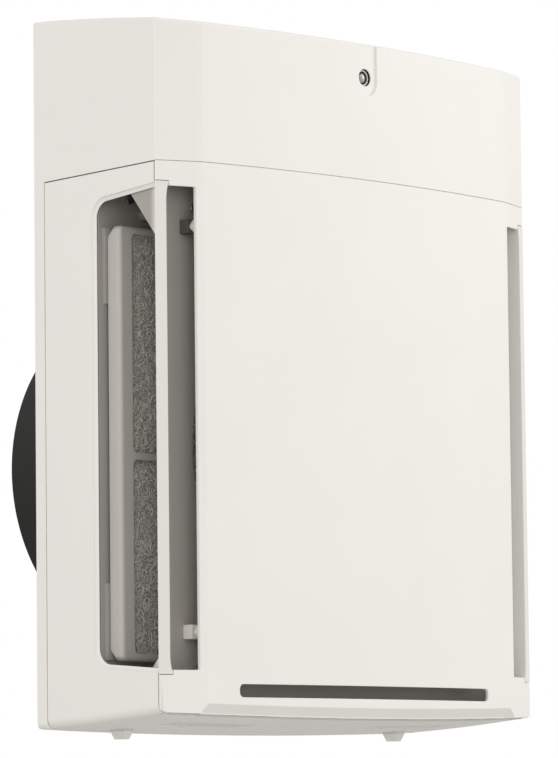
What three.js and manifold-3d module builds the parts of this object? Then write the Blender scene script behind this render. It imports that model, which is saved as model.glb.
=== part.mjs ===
// Wall-hung air purifier with a round duct through the wall.
// Millimetres, +Z up, +X to the right seen from the front. The wall plane is Y = 0 and the front
// faces -Y, so "depth" below means distance in front of the wall: y = -depth.
// The origin lies on the wall plane, on the centre line, at the height of the two upper wall screws.

import * as THREE from 'three';
import { mergeVertices } from 'three/addons/utils/BufferGeometryUtils.js';
import Module from 'manifold-3d';

const wasm = await Module();
wasm.setup();

// ---------------------------------------------------------------- driving dimensions

// body
const width = 390;            // overall
const sideDepth = 121.6;      // depth of the flat sides, from the wall
const bodyDrop = 449;         // fixing line down to the lower rear corner
const headRise = 56.5;        // fixing line up to the upper rear corner
const cornerLead = 2.2;       // rounding between side and facet: flat side to the theoretical corner
const facetWidth = 29.5;      // slanted facet at each front corner, across
const facetDepth = 9.8;       // and forward
const stripWidth = 6.1;       // narrow edge strip between facet and front face
const stripDepth = 1.5;
const frontBow = 9.3;         // how far the front face bows forward in its middle
const headFall = 11.5;        // fall of the top surface along the side
const headCrown = 3.4;        // rise of the top surface at the centre line
const seamDrop = 60.4;        // head seam below the fixing line, at the wall
const seamRise = 4.6;         // rise of that seam along the side
const seamCrown = 0.6;
const bottomRise = 8.2;       // rise of the lower edge along the side
const bottomSag = 3.1;        // sag of the underside at the centre line

// walls and gaps
const wall = 2.5;             // moulded covers
const backPlate = 3;
const trayRim = 10;           // depth of the housing's rim round the back
const fit = 0.4;              // gap between parts that touch or nearly touch
const seam = 0.8;             // visible seam between covers
const undergap = 3;           // front panel to the front edge of the underside

// posts and front gap
const gapTopDrop = 17.5;      // front gap: top edge below the seam at the front corner
const gapBottomRise = 30.2;   // front gap: bottom edge above the lower edge at the front corner
const postLap = 3.5;          // how much further the posts reach than the front gap
const postFace = 7.5;         // front of each post, across, in line with the facet
const postWall = 3.4;         // post, across at its foot
const postNotch = 2.5;        // panel cut back round the posts, inward of their front edge

// front panel
const panelThickness = 2.6;
const flangeDepth = 11;       // stiffening flanges on the back of the panel
const flangeInset = 10;       // inward of the front gap
const flangeLap = 4;          // how far they run past the front gap
const earLift = 0.6;          // panel above the body's lower edge
const chamferHeight = 7.5;    // chamfer along the lower edge
const chamferDepth = 5;
const slotWidth = 262;
const slotHeight = 9.2;
const slotRise = 9.4;         // slot centre above the chamfer
const slotCorner = 3.4;

// side opening
const openingDepth = 59.9;    // rear edge to the front of the sides
const openingTopDrop = 18.4;  // below the seam, at the front corner
const openingBottomRise = 31.3;
const openingTaper = 5;       // how much the opening narrows towards the rear, top
const openingTaperLow = 4;    // and bottom
const openingCorner = 12;

// air guide
const guideDepth = 112.5;     // front face of the flat baffle
const guideThickness = 2.4;
const guideCurve = 42;        // width of the curved part inside each post
const guideSideGap = 6;       // baffle's edge to the front gap
const guideTopDrop = 6;       // baffle below the seam
const guideBottomRise = 12;   // baffle above the lower edge
const guideHoleMargin = 25;   // hole radius beyond the duct's
const webThickness = 1.6;     // triangular webs inside the sides
const webHeel = 3;
const gussetTop = { depth: 28.7, height: 37 };
const gussetBottom = { depth: 9.7, height: 10.5 };

// panel clips
const clipInset = 9;          // from the front gap towards the centre
const clipTopDrop = 26;       // below the gap's top edge
const clipBottomRise = 27;
const clipSize = 10;
const clipDepth = 8;
const clipFloor = 2;
const pegRadius = 2.6;
const pegShoulder = 2.5;      // step round the root of each peg
const pegEntry = 3;           // free depth behind each peg's tip

// filter
const filterFront = 76.5;     // front face of the filter frame
const filterDepth = 12;
const filterSideGap = 10;     // frame to the outside of the body
const filterTopGap = 16.8;    // frame below the side opening's rear top edge
const filterBottomGap = 2.4;  // frame above the side opening's rear bottom edge
const filterRim = 12.4;       // frame border at the ends
const filterRimHigh = 5.5;    // frame border at top and bottom
const frameLip = 2;           // thickness of the border in front of the mat
const frameChamfer = 5;
const frameCorner = 4;
const pocketSide = 4;         // pocket for mat and pack, beyond the window, at the ends
const pocketHigh = 2.5;       // and at top and bottom
const crossbar = 5.2;
const crossbarDrop = 9.2;     // below the middle of the mat
const matThickness = 4;
const matGap = 0.6;           // mat to pocket
const packGap = 1.7;          // pleated pack to pocket
const pleatCount = 32;
const pleatSheet = 1.2;

// filter seat
const seatThickness = 2.5;
const seatHoleMargin = 3;     // hole radius beyond the duct's
const seatLap = 6;            // seat beyond the side opening, top and bottom
const seatSideGap = 1;
const padThickness = 2.1;     // pads that the filter rests on
const padWidth = 14;
const padHeight = 54;
const padInset = 4;
const padOverhang = 1;        // pads short of the filter's ends
const legRadius = 5;
const legOverlap = 0.5;
const seatScrewIn = 7;        // seat screws in from the seat's upper and lower edges
const seatScrewSide = 31;     // and from the side walls
const guideScrewSide = 17.5;  // guide screws in from the front gap
const guideScrewRise = 11;    // above the filter
const guideScrewDrop = 6.6;   // below the filter

// screws
const screwRadius = 1.8;
const pilotGap = 0.2;         // round a screw in its pilot hole
const screwHeadRadius = 3.6;
const screwHeadHeight = 2.2;
const flatHeadHeight = 1.6;   // seat screws, which lie behind the filter

// back plate
const keyholeSpacing = 240;
const keyholeRadius = 5;
const keySlotRadius = 2.75;
const keyholeDrop = 9;
const lowScrewInset = 26;
const lowScrewRise = 24;
const cableX = -110;
const cableZ = -26;
const cableRadius = 8;
const cableWall = 3;          // grommet's wall and lip

// underside vents
const ventCount = 9;
const ventPitch = 9;
const ventWidth = 4;
const ventLength = 22;
const ventX = 104;
const ventDepth = 78;

// duct, seal, fan and motor
const ductRadius = 125;
const ductWall = 3;
const ductReach = 101;        // beyond the wall plane
const ductBelowMiddle = 1.2;
const flangeWidth = 15;
const flangeThickness = 3;
const sealThickness = 2;
const sealInner = 3;          // seal clear of the duct
const sealOuter = 1;          // and of the flange's edge
const bracketThickness = 4;
const bracketMargin = 5;      // bracket plate beyond the motor
const armCount = 4;
const armWidth = 12;
const bracketScrews = 4;
const motorRadius = 36;
const motorLength = 26;
const motorChamfer = 4;
const shaftRadius = 4;
const bearingRadius = 9;
const bearingLength = 7;
const bearingStep = 2;
const runningGap = 0.3;
const tipGap = 5;             // impeller tip to duct bore
const hubRadius = 38;
const hubLength = 34;
const hubShell = 3;
const hubNose = 6;            // chamfer of the hub's rear end
const hubFloor = 9;
const hubBoss = 6;
const hubGap = 4;             // hub to bracket
const bladeCount = 7;
const bladeThickness = 2;
const bladeRootAngle = 62;    // degrees from the plane of rotation
const bladeTwist = 34;
const bladeRootChord = 40;
const bladeTipChord = 54;
const nutRadius = 8.5;
const nutThickness = 5;

// head: floor, boards and lens
const floorThickness = 2;
const floorRise = 4;          // floor above the seam
const floorGap = 0.6;
const cableSlot = { half: 30, rear: 60, front: 70 };
const boardThickness = 1.6;
const boardLift = 6;
const controlBoard = { x0: -20, x1: 130, rear: 30, front: 100 };
const spacerHalf = 3;
const spacerInset = 6;
const powerSupply = { x0: -160, x1: -60, rear: 45, front: 100, height: 32 };
const terminalBlock = { x0: -150, x1: -100, rear: 14, front: 34, height: 16 };
const lensHeight = 20.6;      // above the fixing line
const lensHoleRadius = 6.3;
const lensRingRadius = 4.5;
const lensRingWidth = 0.75;
const lensRingLength = 5;
const lensSink = 2.2;
const lensCollarGap = 0.35;   // collar to its hole
const lensDome = 0.2;
const lensEdge = 0.6;
const sensorHalfWidth = 12;
const sensorHalfHeight = 9;
const padHalfWidth = 11.5;    // recess round the lens, open towards the top
const padRound = 1.2;         // its lower end, as a share of its half width
const padSink = 1.4;

// catches under the body
const catchSpacing = 286;
const catchDepth = 32;
const catchReach = 7;         // lug below the underside
const catchBody = [4.6, 7.4]; // half width and half length of each step, from the lug upwards
const catchTip = [3, 4.6];
const catchHead = [7, 9.5];
const catchHeadThickness = 3;
const catchHeadGap = 1.2;     // head above the floor at rest
const catchRoomGap = 1;       // head to its guide
const catchGuideWall = 2;
const catchGuideHeight = 18;
const catchGuideSkirt = 6;
const springTurns = 4;
const springWire = 0.5;
const springRadius = 3.2;
const springGap = 1;          // coil's centre line to head and guide

// ---------------------------------------------------------------- derived outlines

const sides = [['left', -1], ['right', 1]];
const halfWidth = width / 2;
const faceHalf = halfWidth - facetWidth;
const bowHalf = faceHalf - stripWidth;
const facetFront = sideDepth + cornerLead + facetDepth;
const bowStart = facetFront + stripDepth;
const frontDepth = bowStart + frontBow;

const across = (x) => 1 - (x / halfWidth) ** 2;
const topZ = (x, d) => headRise - headFall * (d / sideDepth) ** 1.3 + headCrown * across(x);
const seamZ = (x, d) => -seamDrop + seamRise * (d / sideDepth) + seamCrown * across(x);
const bottomZ = (x, d) => -bodyDrop + bottomRise * (Math.max(d, 0) / sideDepth) ** 1.5
  - bottomSag * across(x);

const farUp = headRise + headCrown + 50;      // heights beyond the body, for cutting tools
const farDown = -bodyDrop - bottomSag - 50;
const headMiddle = -seamDrop + 8;             // any height inside the head, above the seam
const innerHalf = halfWidth - wall;

const seamFront = seamZ(halfWidth, sideDepth);
const bottomFront = bottomZ(halfWidth, sideDepth);
const gapTop = seamFront - gapTopDrop;
const gapBottom = bottomFront + gapBottomRise;
const postTop = gapTop + postLap;
const postBottom = gapBottom - postLap;
const postTip = halfWidth - postFace;
const openingTop = seamFront - openingTopDrop;
const openingBottom = bottomFront + openingBottomRise;
const openingRear = sideDepth - openingDepth;
const slotZ = bottomZ(0, frontDepth) + chamferHeight + slotRise;

const ductZ = (-seamDrop - bodyDrop) / 2 - ductBelowMiddle;
const bore = ductRadius - ductWall;
const flangeRadius = ductRadius + flangeWidth;
const flangeRear = backPlate + sealThickness + 2 * fit;
const flangeFront = flangeRear + flangeThickness;
const bracketRear = flangeFront + fit;
const bracketFront = bracketRear + bracketThickness;

const filterHalf = halfWidth - filterSideGap;
const filterTop = openingTop - openingTaper - filterTopGap;
const filterBottom = openingBottom + openingTaperLow + filterBottomGap;
const filterRear = filterFront - filterDepth;
const matTop = filterTop - filterRimHigh;
const matBottom = filterBottom + filterRimHigh;
const matHalf = filterHalf - filterRim;
const matFront = filterFront - frameLip - fit;
const matRear = matFront - matThickness;

const seatDepth = filterRear - fit - padThickness;
const seatRear = seatDepth - seatThickness;
const seatHalf = innerHalf - seatSideGap;
const seatTop = openingTop + seatLap;
const seatBottom = openingBottom - seatLap;

const guideRear = guideDepth - guideThickness;
const guideTop = seamFront - guideTopDrop;
const guideBottom = bottomFront + guideBottomRise;

const seatScrews = [];
const guideScrews = [];
const clipPlaces = [];
for (const [side, s] of sides) {
  const seatX = s * (innerHalf - seatScrewSide);
  const guideX = s * (faceHalf - guideScrewSide);
  const clipX = s * (faceHalf - clipInset);
  seatScrews.push([`upper_${side}`, seatX, seatTop - seatScrewIn]);
  seatScrews.push([`lower_${side}`, seatX, seatBottom + seatScrewIn]);
  guideScrews.push([`upper_${side}`, guideX, filterTop + guideScrewRise]);
  guideScrews.push([`lower_${side}`, guideX, filterBottom - guideScrewDrop]);
  clipPlaces.push([`upper_${side}`, clipX, gapTop - clipTopDrop]);
  clipPlaces.push([`lower_${side}`, clipX, gapBottom + clipBottomRise]);
}

function arc(cx, cy, radius, from, to, steps) {
  const points = [];
  for (let i = 0; i <= steps; i++) {
    const a = THREE.MathUtils.degToRad(from + (to - from) * i / steps);
    points.push([cx + radius * Math.cos(a), cy + radius * Math.sin(a)]);
  }
  return points;
}

function roundedRect(x0, y0, x1, y1, r, steps = 3) {
  return [
    ...arc(x1 - r, y1 - r, r, 0, 90, steps),
    ...arc(x0 + r, y1 - r, r, 90, 180, steps),
    ...arc(x0 + r, y0 + r, r, 180, 270, steps),
    ...arc(x1 - r, y0 + r, r, 270, 360, steps),
  ];
}

function centredRect(x, d, [halfAcross, halfAlong]) {
  return [[x - halfAcross, d - halfAlong], [x + halfAcross, d - halfAlong],
    [x + halfAcross, d + halfAlong], [x - halfAcross, d + halfAlong]];
}

// Half of the plan outline from the right side round to the centre of the front, as [x, depth].
function planHalf(rounded) {
  const start = new THREE.Vector2(halfWidth, sideDepth);
  const corner = new THREE.Vector2(halfWidth, sideDepth + cornerLead);
  const facet = new THREE.Vector2(-facetWidth, facetDepth).setLength(cornerLead);
  const curve = new THREE.QuadraticBezierCurve(start, corner, corner.clone().add(facet));
  const points = rounded ? curve.getPoints(4).map((p) => [p.x, p.y]) : [[corner.x, corner.y]];
  points.push([faceHalf, facetFront]);
  const steps = 8;
  for (let i = 0; i < steps; i++) {
    const x = bowHalf * (1 - i / steps);
    points.push([x, bowStart + frontBow * (1 - (x / bowHalf) ** 2)]);
  }
  return points;
}

function planOutline(rounded) {
  const right = planHalf(rounded);
  const left = right.map(([x, d]) => [-x, d]).reverse();
  return [[halfWidth, 0], ...right, [0, frontDepth], ...left, [-halfWidth, 0]];
}

// Moves every edge of a convex outline inwards by t.
function inset(points, t) {
  const n = points.length;
  const middle = points.reduce((s, p) => [s[0] + p[0] / n, s[1] + p[1] / n], [0, 0]);
  const lines = points.map((p, i) => {
    const q = points[(i + 1) % n];
    let normal = [q[1] - p[1], p[0] - q[0]];
    const length = Math.hypot(...normal);
    normal = normal.map((v) => v / length);
    const side = (middle[0] - p[0]) * normal[0] + (middle[1] - p[1]) * normal[1];
    if (side < 0) normal = normal.map((v) => -v);
    return { normal, offset: normal[0] * p[0] + normal[1] * p[1] + t };
  });
  return lines.map((b, i) => {
    const a = lines[(i + n - 1) % n];
    const det = a.normal[0] * b.normal[1] - a.normal[1] * b.normal[0];
    return [
      (a.offset * b.normal[1] - b.offset * a.normal[1]) / det,
      (a.normal[0] * b.offset - b.normal[0] * a.offset) / det,
    ];
  });
}

const outline = planOutline(true);
const sharpOutline = planOutline(false);

// ---------------------------------------------------------------- solids

function toSolid(geometry) {
  geometry.deleteAttribute('normal');
  geometry.deleteAttribute('uv');
  const merged = mergeVertices(geometry, 1e-4);
  return new wasm.Manifold(new wasm.Mesh({
    numProp: 3,
    vertProperties: new Float32Array(merged.attributes.position.array),
    triVerts: new Uint32Array(merged.index.array),
  }));
}

// The solid of a closed mesh, turned inside out if its faces point inwards.
function facingOut(geometry) {
  const solid = toSolid(geometry.clone());
  if (solid.volume() > 0) return solid;
  const index = geometry.index.array;
  for (let i = 0; i < index.length; i += 3) {
    [index[i], index[i + 1]] = [index[i + 1], index[i]];
  }
  return toSolid(geometry);
}

function fromFaces(positions, faces) {
  const geometry = new THREE.BufferGeometry();
  geometry.setAttribute('position', new THREE.Float32BufferAttribute(positions, 3));
  geometry.setIndex(faces);
  return facingOut(geometry);
}

function extrude(points, length, matrix) {
  const shape = new THREE.Shape(points.map((p) => new THREE.Vector2(p[0], p[1])));
  const geometry = new THREE.ExtrudeGeometry(shape, { depth: length, bevelEnabled: false });
  return toSolid(geometry.applyMatrix4(matrix));
}

// Each prism takes an outline in the plane across its own axis.
function prismZ(points, z0, z1) {
  const flipped = points.map(([x, d]) => [x, -d]);
  return extrude(flipped, z1 - z0, new THREE.Matrix4().makeTranslation(0, 0, z0));
}

function prismY(points, d0, d1) {
  const matrix = new THREE.Matrix4().set(1, 0, 0, 0, 0, 0, -1, -d0, 0, 1, 0, 0, 0, 0, 0, 1);
  return extrude(points, d1 - d0, matrix);
}

function prismX(points, x0, x1) {
  const matrix = new THREE.Matrix4().set(0, 0, -1, x1, -1, 0, 0, 0, 0, 1, 0, 0, 0, 0, 0, 1);
  return extrude(points, x1 - x0, matrix);
}

function box(x0, x1, d0, d1, z0, z1) {
  const geometry = new THREE.BoxGeometry(x1 - x0, d1 - d0, z1 - z0);
  return toSolid(geometry.translate((x0 + x1) / 2, -(d0 + d1) / 2, (z0 + z1) / 2));
}

// A solid of revolution about an axis along the depth, from [radius, depth] points.
function turned(profile, x, z, segments = 32) {
  const points = profile.map(([r, d]) => new THREE.Vector2(r, -d));
  return facingOut(new THREE.LatheGeometry(points, segments).translate(x, 0, z));
}

function disc(radius, d0, d1, x, z, segments = 32) {
  return turned([[0, d0], [radius, d0], [radius, d1], [0, d1]], x, z, segments);
}

function ring(inner, outer, d0, d1, x, z, segments = 32) {
  return turned([[inner, d0], [outer, d0], [outer, d1], [inner, d1], [inner, d0]], x, z, segments);
}

// Everything between the surface z = height(x, depth) and the plane z = far.
function between(height, far, nx = 12, nd = 6) {
  const reach = { x: halfWidth + 5, d0: -10, d1: frontDepth + 10 };
  const positions = [];
  for (const level of [0, 1]) {
    for (let j = 0; j <= nd; j++) {
      for (let i = 0; i <= nx; i++) {
        const x = -reach.x + 2 * reach.x * i / nx;
        const d = reach.d0 + (reach.d1 - reach.d0) * j / nd;
        positions.push(x, -d, level ? far : height(x, Math.max(d, 0)));
      }
    }
  }
  const at = (level, i, j) => (level * (nd + 1) + j) * (nx + 1) + i;
  const faces = [];
  const quad = (a, b, c, d) => faces.push(a, b, c, a, c, d);
  for (let j = 0; j < nd; j++) {
    for (let i = 0; i < nx; i++) {
      quad(at(0, i, j), at(0, i + 1, j), at(0, i + 1, j + 1), at(0, i, j + 1));
      quad(at(1, i, j), at(1, i, j + 1), at(1, i + 1, j + 1), at(1, i + 1, j));
    }
  }
  for (let i = 0; i < nx; i++) {
    quad(at(0, i, 0), at(1, i, 0), at(1, i + 1, 0), at(0, i + 1, 0));
    quad(at(0, i + 1, nd), at(1, i + 1, nd), at(1, i, nd), at(0, i, nd));
  }
  for (let j = 0; j < nd; j++) {
    quad(at(0, 0, j + 1), at(1, 0, j + 1), at(1, 0, j), at(0, 0, j));
    quad(at(0, nx, j), at(1, nx, j), at(1, nx, j + 1), at(0, nx, j + 1));
  }
  return fromFaces(positions, faces);
}

// Joins two outlines of equal point count at two heights, for tapered shapes.
function taper(near, nearZ, far, farZ) {
  const n = near.length;
  const positions = [];
  for (const [x, d] of near) positions.push(x, -d, nearZ);
  for (const [x, d] of far) positions.push(x, -d, farZ);
  const faces = [];
  for (let i = 0; i < n; i++) {
    const k = (i + 1) % n;
    faces.push(i, k, n + k, i, n + k, n + i);
  }
  for (let i = 1; i < n - 1; i++) {
    faces.push(0, i + 1, i);
    faces.push(n, n + i, n + i + 1);
  }
  return fromFaces(positions, faces);
}

const joined = (...solids) => solids.reduce((a, b) => a.add(b));
const cut = (solid, ...tools) => tools.reduce((a, b) => a.subtract(b), solid);

// A screw along the depth: its shank from rear to front, and a head of the given height there.
function screw(x, z, rear, front, head = screwHeadHeight) {
  return joined(disc(screwRadius, rear, front + head / 2, x, z, 12),
    disc(screwHeadRadius, front, front + head, x, z, 12));
}

// ---------------------------------------------------------------- materials and the group

const finishes = {
  white: [0xe9e8e4, 0.45, 0],
  inner: [0xd9d6d1, 0.5, 0],
  grey: [0xb9b5ae, 0.55, 0],
  mat: [0x8b857d, 0.95, 0],
  pleat: [0xf0eee8, 0.9, 0],
  black: [0x191a17, 0.6, 0],
  rubber: [0x2a2a2a, 0.85, 0],
  steel: [0xb8babc, 0.35, 0.9],
  motor: [0x8f9498, 0.4, 0.8],
  board: [0x1f5a3a, 0.5, 0.1],
  glass: [0x3a3d3f, 0.1, 0],
};

const purifier = new THREE.Group();

function place(name, finish, solid) {
  const mesh = solid.getMesh();
  const geometry = new THREE.BufferGeometry();
  geometry.setAttribute('position', new THREE.Float32BufferAttribute(mesh.vertProperties, 3));
  geometry.setIndex([...mesh.triVerts]);
  const [color, roughness, metalness] = finishes[finish];
  const material = new THREE.MeshStandardMaterial({ color, roughness, metalness });
  const node = new THREE.Mesh(geometry, material);
  node.name = name;
  purifier.add(node);
}

// ---------------------------------------------------------------- main housing

// The full-depth head, the back plate and the rim round the back are one moulding.

function keyhole(x) {
  const slot = roundedRect(x - keySlotRadius, -keyholeDrop, x + keySlotRadius, keySlotRadius,
    keySlotRadius * 0.99);
  return joined(disc(keyholeRadius, -1, backPlate + 1, x, -keyholeDrop, 20),
    prismY(slot, -1, backPlate + 1));
}

function housingHoles() {
  const through = (radius, x, z, segments) => disc(radius, -1, backPlate + 1, x, z, segments);
  const lensPad = roundedRect(-padHalfWidth, lensHeight - padHalfWidth * padRound, padHalfWidth,
    farUp, padHalfWidth * 0.98, 6);
  const holes = [
    through(ductRadius + fit * 2, 0, ductZ, 48),
    through(cableRadius + fit, cableX, cableZ, 20),
    disc(lensHoleRadius, frontDepth - 2 * lensRingLength, frontDepth + 5, 0, lensHeight, 24),
    prismY(lensPad, frontDepth - padSink, frontDepth + 5),
  ];
  for (const [, s] of sides) {
    holes.push(keyhole(s * keyholeSpacing / 2));
    holes.push(through(screwRadius + fit, s * (halfWidth - lowScrewInset),
      -bodyDrop + lowScrewRise, 16));
  }
  for (const [, x, z] of seatScrews) holes.push(through(screwRadius + pilotGap, x, z, 12));
  return holes;
}

function mainHousing() {
  const flatPlate = box(-width, width, -5, backPlate, farDown, farUp);
  const head = prismZ(outline, -seamDrop - 5, farUp)
    .subtract(between(topZ, farUp + 1))
    .subtract(between(seamZ, farDown));
  const tray = box(-halfWidth, halfWidth, 0, trayRim, farDown, headMiddle);
  const rim = tray.subtract(between(bottomZ, farDown - 1));
  const headRoom = prismZ(inset(sharpOutline, wall), -seamDrop - 6, farUp)
    .subtract(between((x, d) => topZ(x, d) - wall, farUp + 1))
    .subtract(flatPlate);
  const trayRoom = box(-innerHalf, innerHalf, 0, trayRim + 1, farDown, headMiddle)
    .subtract(between((x, d) => bottomZ(x, d) + wall, farDown - 1))
    .subtract(flatPlate);
  return cut(joined(head, rim), headRoom, trayRoom, ...housingHoles());
}

place('main_housing', 'white', mainHousing());

// ---------------------------------------------------------------- lower shell with side openings

function sideOpening() {
  const r = openingCorner;
  const rearTop = openingTop - openingTaper;
  const rearLow = openingBottom + openingTaperLow;
  const past = sideDepth + 20;
  return [
    [past, openingTop], [sideDepth, openingTop],
    ...arc(openingRear + r, rearTop - r, r, 90, 180, 5),
    ...arc(openingRear + r, rearLow + r, r, 180, 270, 5),
    [sideDepth, openingBottom], [past, openingBottom],
  ];
}

function lowerShell() {
  const rear = trayRim + seam;
  const front = sideDepth - fit;
  const belowSeam = between((x, d) => seamZ(x, d) - seam, farUp);
  const aboveBottom = between(bottomZ, farDown - 1);
  const walls = cut(box(-halfWidth, halfWidth, rear, front, farDown, headMiddle),
    box(-innerHalf, innerHalf, -5, frontDepth, farDown - 1, farUp), belowSeam, aboveBottom);
  const floor = cut(prismZ(inset(sharpOutline, panelThickness + undergap), farDown, openingBottom),
    box(-width, width, -5, rear, farDown - 1, farUp), aboveBottom,
    between((x, d) => bottomZ(x, d) + wall, farUp));
  const corners = cut(box(-halfWidth, halfWidth, rear, front, farDown, openingBottom), aboveBottom,
    between((x, d) => bottomZ(x, d) + wall, farUp));
  const tools = [prismX(sideOpening(), -width, width)];
  for (const [, s] of sides) {
    const hole = centredRect(s * catchSpacing / 2, catchDepth, catchBody.map((v) => v + fit));
    tools.push(prismZ(hole, farDown, openingBottom));
    for (let i = 0; i < ventCount; i++) {
      const x = s * ventX + (i - (ventCount - 1) / 2) * ventPitch;
      tools.push(box(x - ventWidth / 2, x + ventWidth / 2, ventDepth - ventLength / 2,
        ventDepth + ventLength / 2, farDown, openingBottom));
    }
  }
  return cut(joined(walls, floor, corners), ...tools);
}

place('lower_shell', 'white', lowerShell());

// ---------------------------------------------------------------- air guide: posts and baffle

// Section of the right-hand half, from the outer corner of the post in to the centre line.
function guideSection() {
  const outer = [halfWidth, sideDepth + fit];
  const corner = [halfWidth - 0.3, sideDepth + cornerLead];
  const tip = new THREE.Vector2(postTip, sideDepth + cornerLead + postFace * facetDepth / facetWidth);
  const root = halfWidth - guideCurve;
  const bend = 4;
  const front = new THREE.CubicBezierCurve(
    tip, new THREE.Vector2(tip.x - bend, guideDepth + bend),
    new THREE.Vector2(tip.x - 2 * bend, guideDepth), new THREE.Vector2(root, guideDepth));
  const foot = new THREE.Vector2(halfWidth - postWall, sideDepth + fit);
  const rear = new THREE.CubicBezierCurve(
    foot, new THREE.Vector2(foot.x - 0.75 * bend, guideRear + bend),
    new THREE.Vector2(foot.x - 2.75 * bend, guideRear), new THREE.Vector2(root, guideRear));
  return [outer, corner, ...front.getPoints(8).map((p) => [p.x, p.y]), [-0.01, guideDepth],
    [-0.01, guideRear], ...rear.getPoints(8).reverse().map((p) => [p.x, p.y])];
}

// A triangular web inside a side wall, at the upper (dir = 1) or lower end of the side opening.
function web(s, z, dir, size) {
  const edge = seatHalf + 0.1;
  const rear = sideDepth - size.depth;
  return prismX([
    [sideDepth + 1, z + dir * webHeel], [rear, z + dir * webHeel], [rear, z],
    [sideDepth, z - dir * size.height], [sideDepth + 1, z - dir * size.height],
  ], s > 0 ? edge - webThickness : -edge, s > 0 ? edge : webThickness - edge);
}

function airGuide() {
  const section = guideSection();
  const mirrored = section.map(([x, d]) => [-x, d]);
  const bottom = postBottom + fit;
  const top = postTop - fit;
  const plateHalf = faceHalf - guideSideGap;
  const pieces = [
    prismZ(section, bottom, top),
    prismZ(mirrored, bottom, top),
    box(-plateHalf, plateHalf, guideRear, guideDepth, guideBottom, guideTop),
  ];
  for (const [, s] of sides) {
    pieces.push(web(s, openingTop, 1, gussetTop), web(s, openingBottom, -1, gussetBottom));
  }
  const holes = [disc(ductRadius + guideHoleMargin, guideDepth - 6, guideDepth + 1, 0, ductZ, 64)];
  for (const [, x, z] of guideScrews) {
    pieces.push(disc(legRadius - legOverlap, seatDepth + fit, guideDepth - legOverlap, x, z, 16));
    holes.push(disc(screwRadius + fit, seatDepth, guideDepth + 1, x, z, 12));
  }
  return cut(joined(...pieces), ...holes);
}

place('air_guide', 'inner', airGuide());

// Square snap clips on the baffle take the pegs on the back of the front panel.
const clipRear = guideDepth + fit;
const clipFront = clipRear + clipDepth;
for (const [where, x, z] of clipPlaces) {
  const half = clipSize / 2;
  place(`panel_clip_${where}`, 'white', cut(
    box(x - half, x + half, clipRear, clipFront, z - half, z + half),
    disc(pegRadius + fit, clipRear + clipFloor, clipFront + 1, x, z, 16)));
}

// ---------------------------------------------------------------- front panel

// A bowed cover with four ears that reach round the corners; the posts fill the space between them.
function frontPanel() {
  const block = prismZ(outline, farDown, headMiddle);
  const chamferRear = bowStart - chamferDepth;
  const tools = [
    between((x, d) => seamZ(x, d) - seam, farUp),
    box(-width, width, -5, sideDepth + fit, farDown, farUp),
    prismZ(inset(sharpOutline, panelThickness), farDown - 1, headMiddle + 1),
    between((x, d) => bottomZ(x, Math.min(d, sideDepth)) + earLift, farDown - 1),
    prismX([
      [frontDepth + 1, bottomFront + chamferHeight], [chamferRear, bottomFront],
      [chamferRear, farDown], [frontDepth + 1, farDown],
    ], -faceHalf, faceHalf),
    prismY(roundedRect(-slotWidth / 2, slotZ - slotHeight / 2, slotWidth / 2,
      slotZ + slotHeight / 2, slotCorner), sideDepth, frontDepth + 5),
  ];
  const postInner = postTip - postNotch;
  const flanges = [];
  for (const [, s] of sides) {
    const outward = (x0, x1) => (s > 0 ? [x0, x1] : [-x1, -x0]);
    tools.push(box(...outward(faceHalf, width), -5, width, gapBottom, gapTop));
    tools.push(box(...outward(postInner, width), -5, width, postBottom, postTop));
    const flangeOuter = faceHalf - flangeInset;
    flanges.push(box(...outward(flangeOuter - panelThickness, flangeOuter),
      facetFront - flangeDepth, facetFront - 1, gapBottom - flangeLap, gapTop + flangeLap));
  }
  const pegs = clipPlaces.map(([, x, z]) => joined(
    disc(pegRadius, clipRear + pegEntry, facetFront - 1, x, z, 16),
    disc(pegRadius + pegShoulder, clipFront + pegEntry, facetFront - 1, x, z, 16)));
  return joined(cut(block, ...tools), ...flanges, ...pegs);
}

place('front_panel', 'white', frontPanel());

// ---------------------------------------------------------------- filter

function filterFrame() {
  const c = frameChamfer;
  const body = prismX([
    [filterFront, filterTop], [filterRear + c, filterTop], [filterRear, filterTop - c],
    [filterRear, filterBottom + c], [filterRear + c, filterBottom], [filterFront, filterBottom],
  ], -filterHalf, filterHalf);
  const barMiddle = (matTop + matBottom) / 2 - crossbarDrop;
  const windows = [
    [matTop, barMiddle + crossbar / 2],
    [barMiddle - crossbar / 2, matBottom],
  ].map(([a, b]) => prismY(roundedRect(-matHalf, b, matHalf, a, frameCorner),
    filterRear - 1, filterFront + 1));
  const pocket = prismY(roundedRect(-matHalf - pocketSide, matBottom - pocketHigh,
    matHalf + pocketSide, matTop + pocketHigh, frameCorner), filterRear - 1, filterFront - frameLip);
  return cut(body, ...windows, pocket);
}

function filterMat() {
  const half = matHalf + pocketSide - matGap;
  const past = pocketHigh - matGap;
  return prismY(roundedRect(-half, matBottom - past, half, matTop + past, frameCorner),
    matRear, matFront);
}

// A fine pleated pack lies behind the coarse mat.
function pleatedPack() {
  const half = matHalf + pocketSide - packGap;
  const past = pocketHigh - packGap;
  const front = matRear - fit;
  const rear = filterRear + fit;
  const pitch = 2 * half / pleatCount;
  const upper = [];
  const lower = [];
  for (let i = 0; i <= 2 * pleatCount; i++) {
    const x = -half + pitch * i / 2;
    upper.push([x, i % 2 ? rear + pleatSheet : front]);
    lower.push([x, i % 2 ? rear : front - pleatSheet]);
  }
  return prismZ([...upper, ...lower.reverse()], matBottom - past, matTop + past);
}

place('filter_frame', 'grey', filterFrame());
place('filter_mat', 'mat', filterMat());
place('filter_pleats', 'pleat', pleatedPack());

// ---------------------------------------------------------------- filter seat

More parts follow.
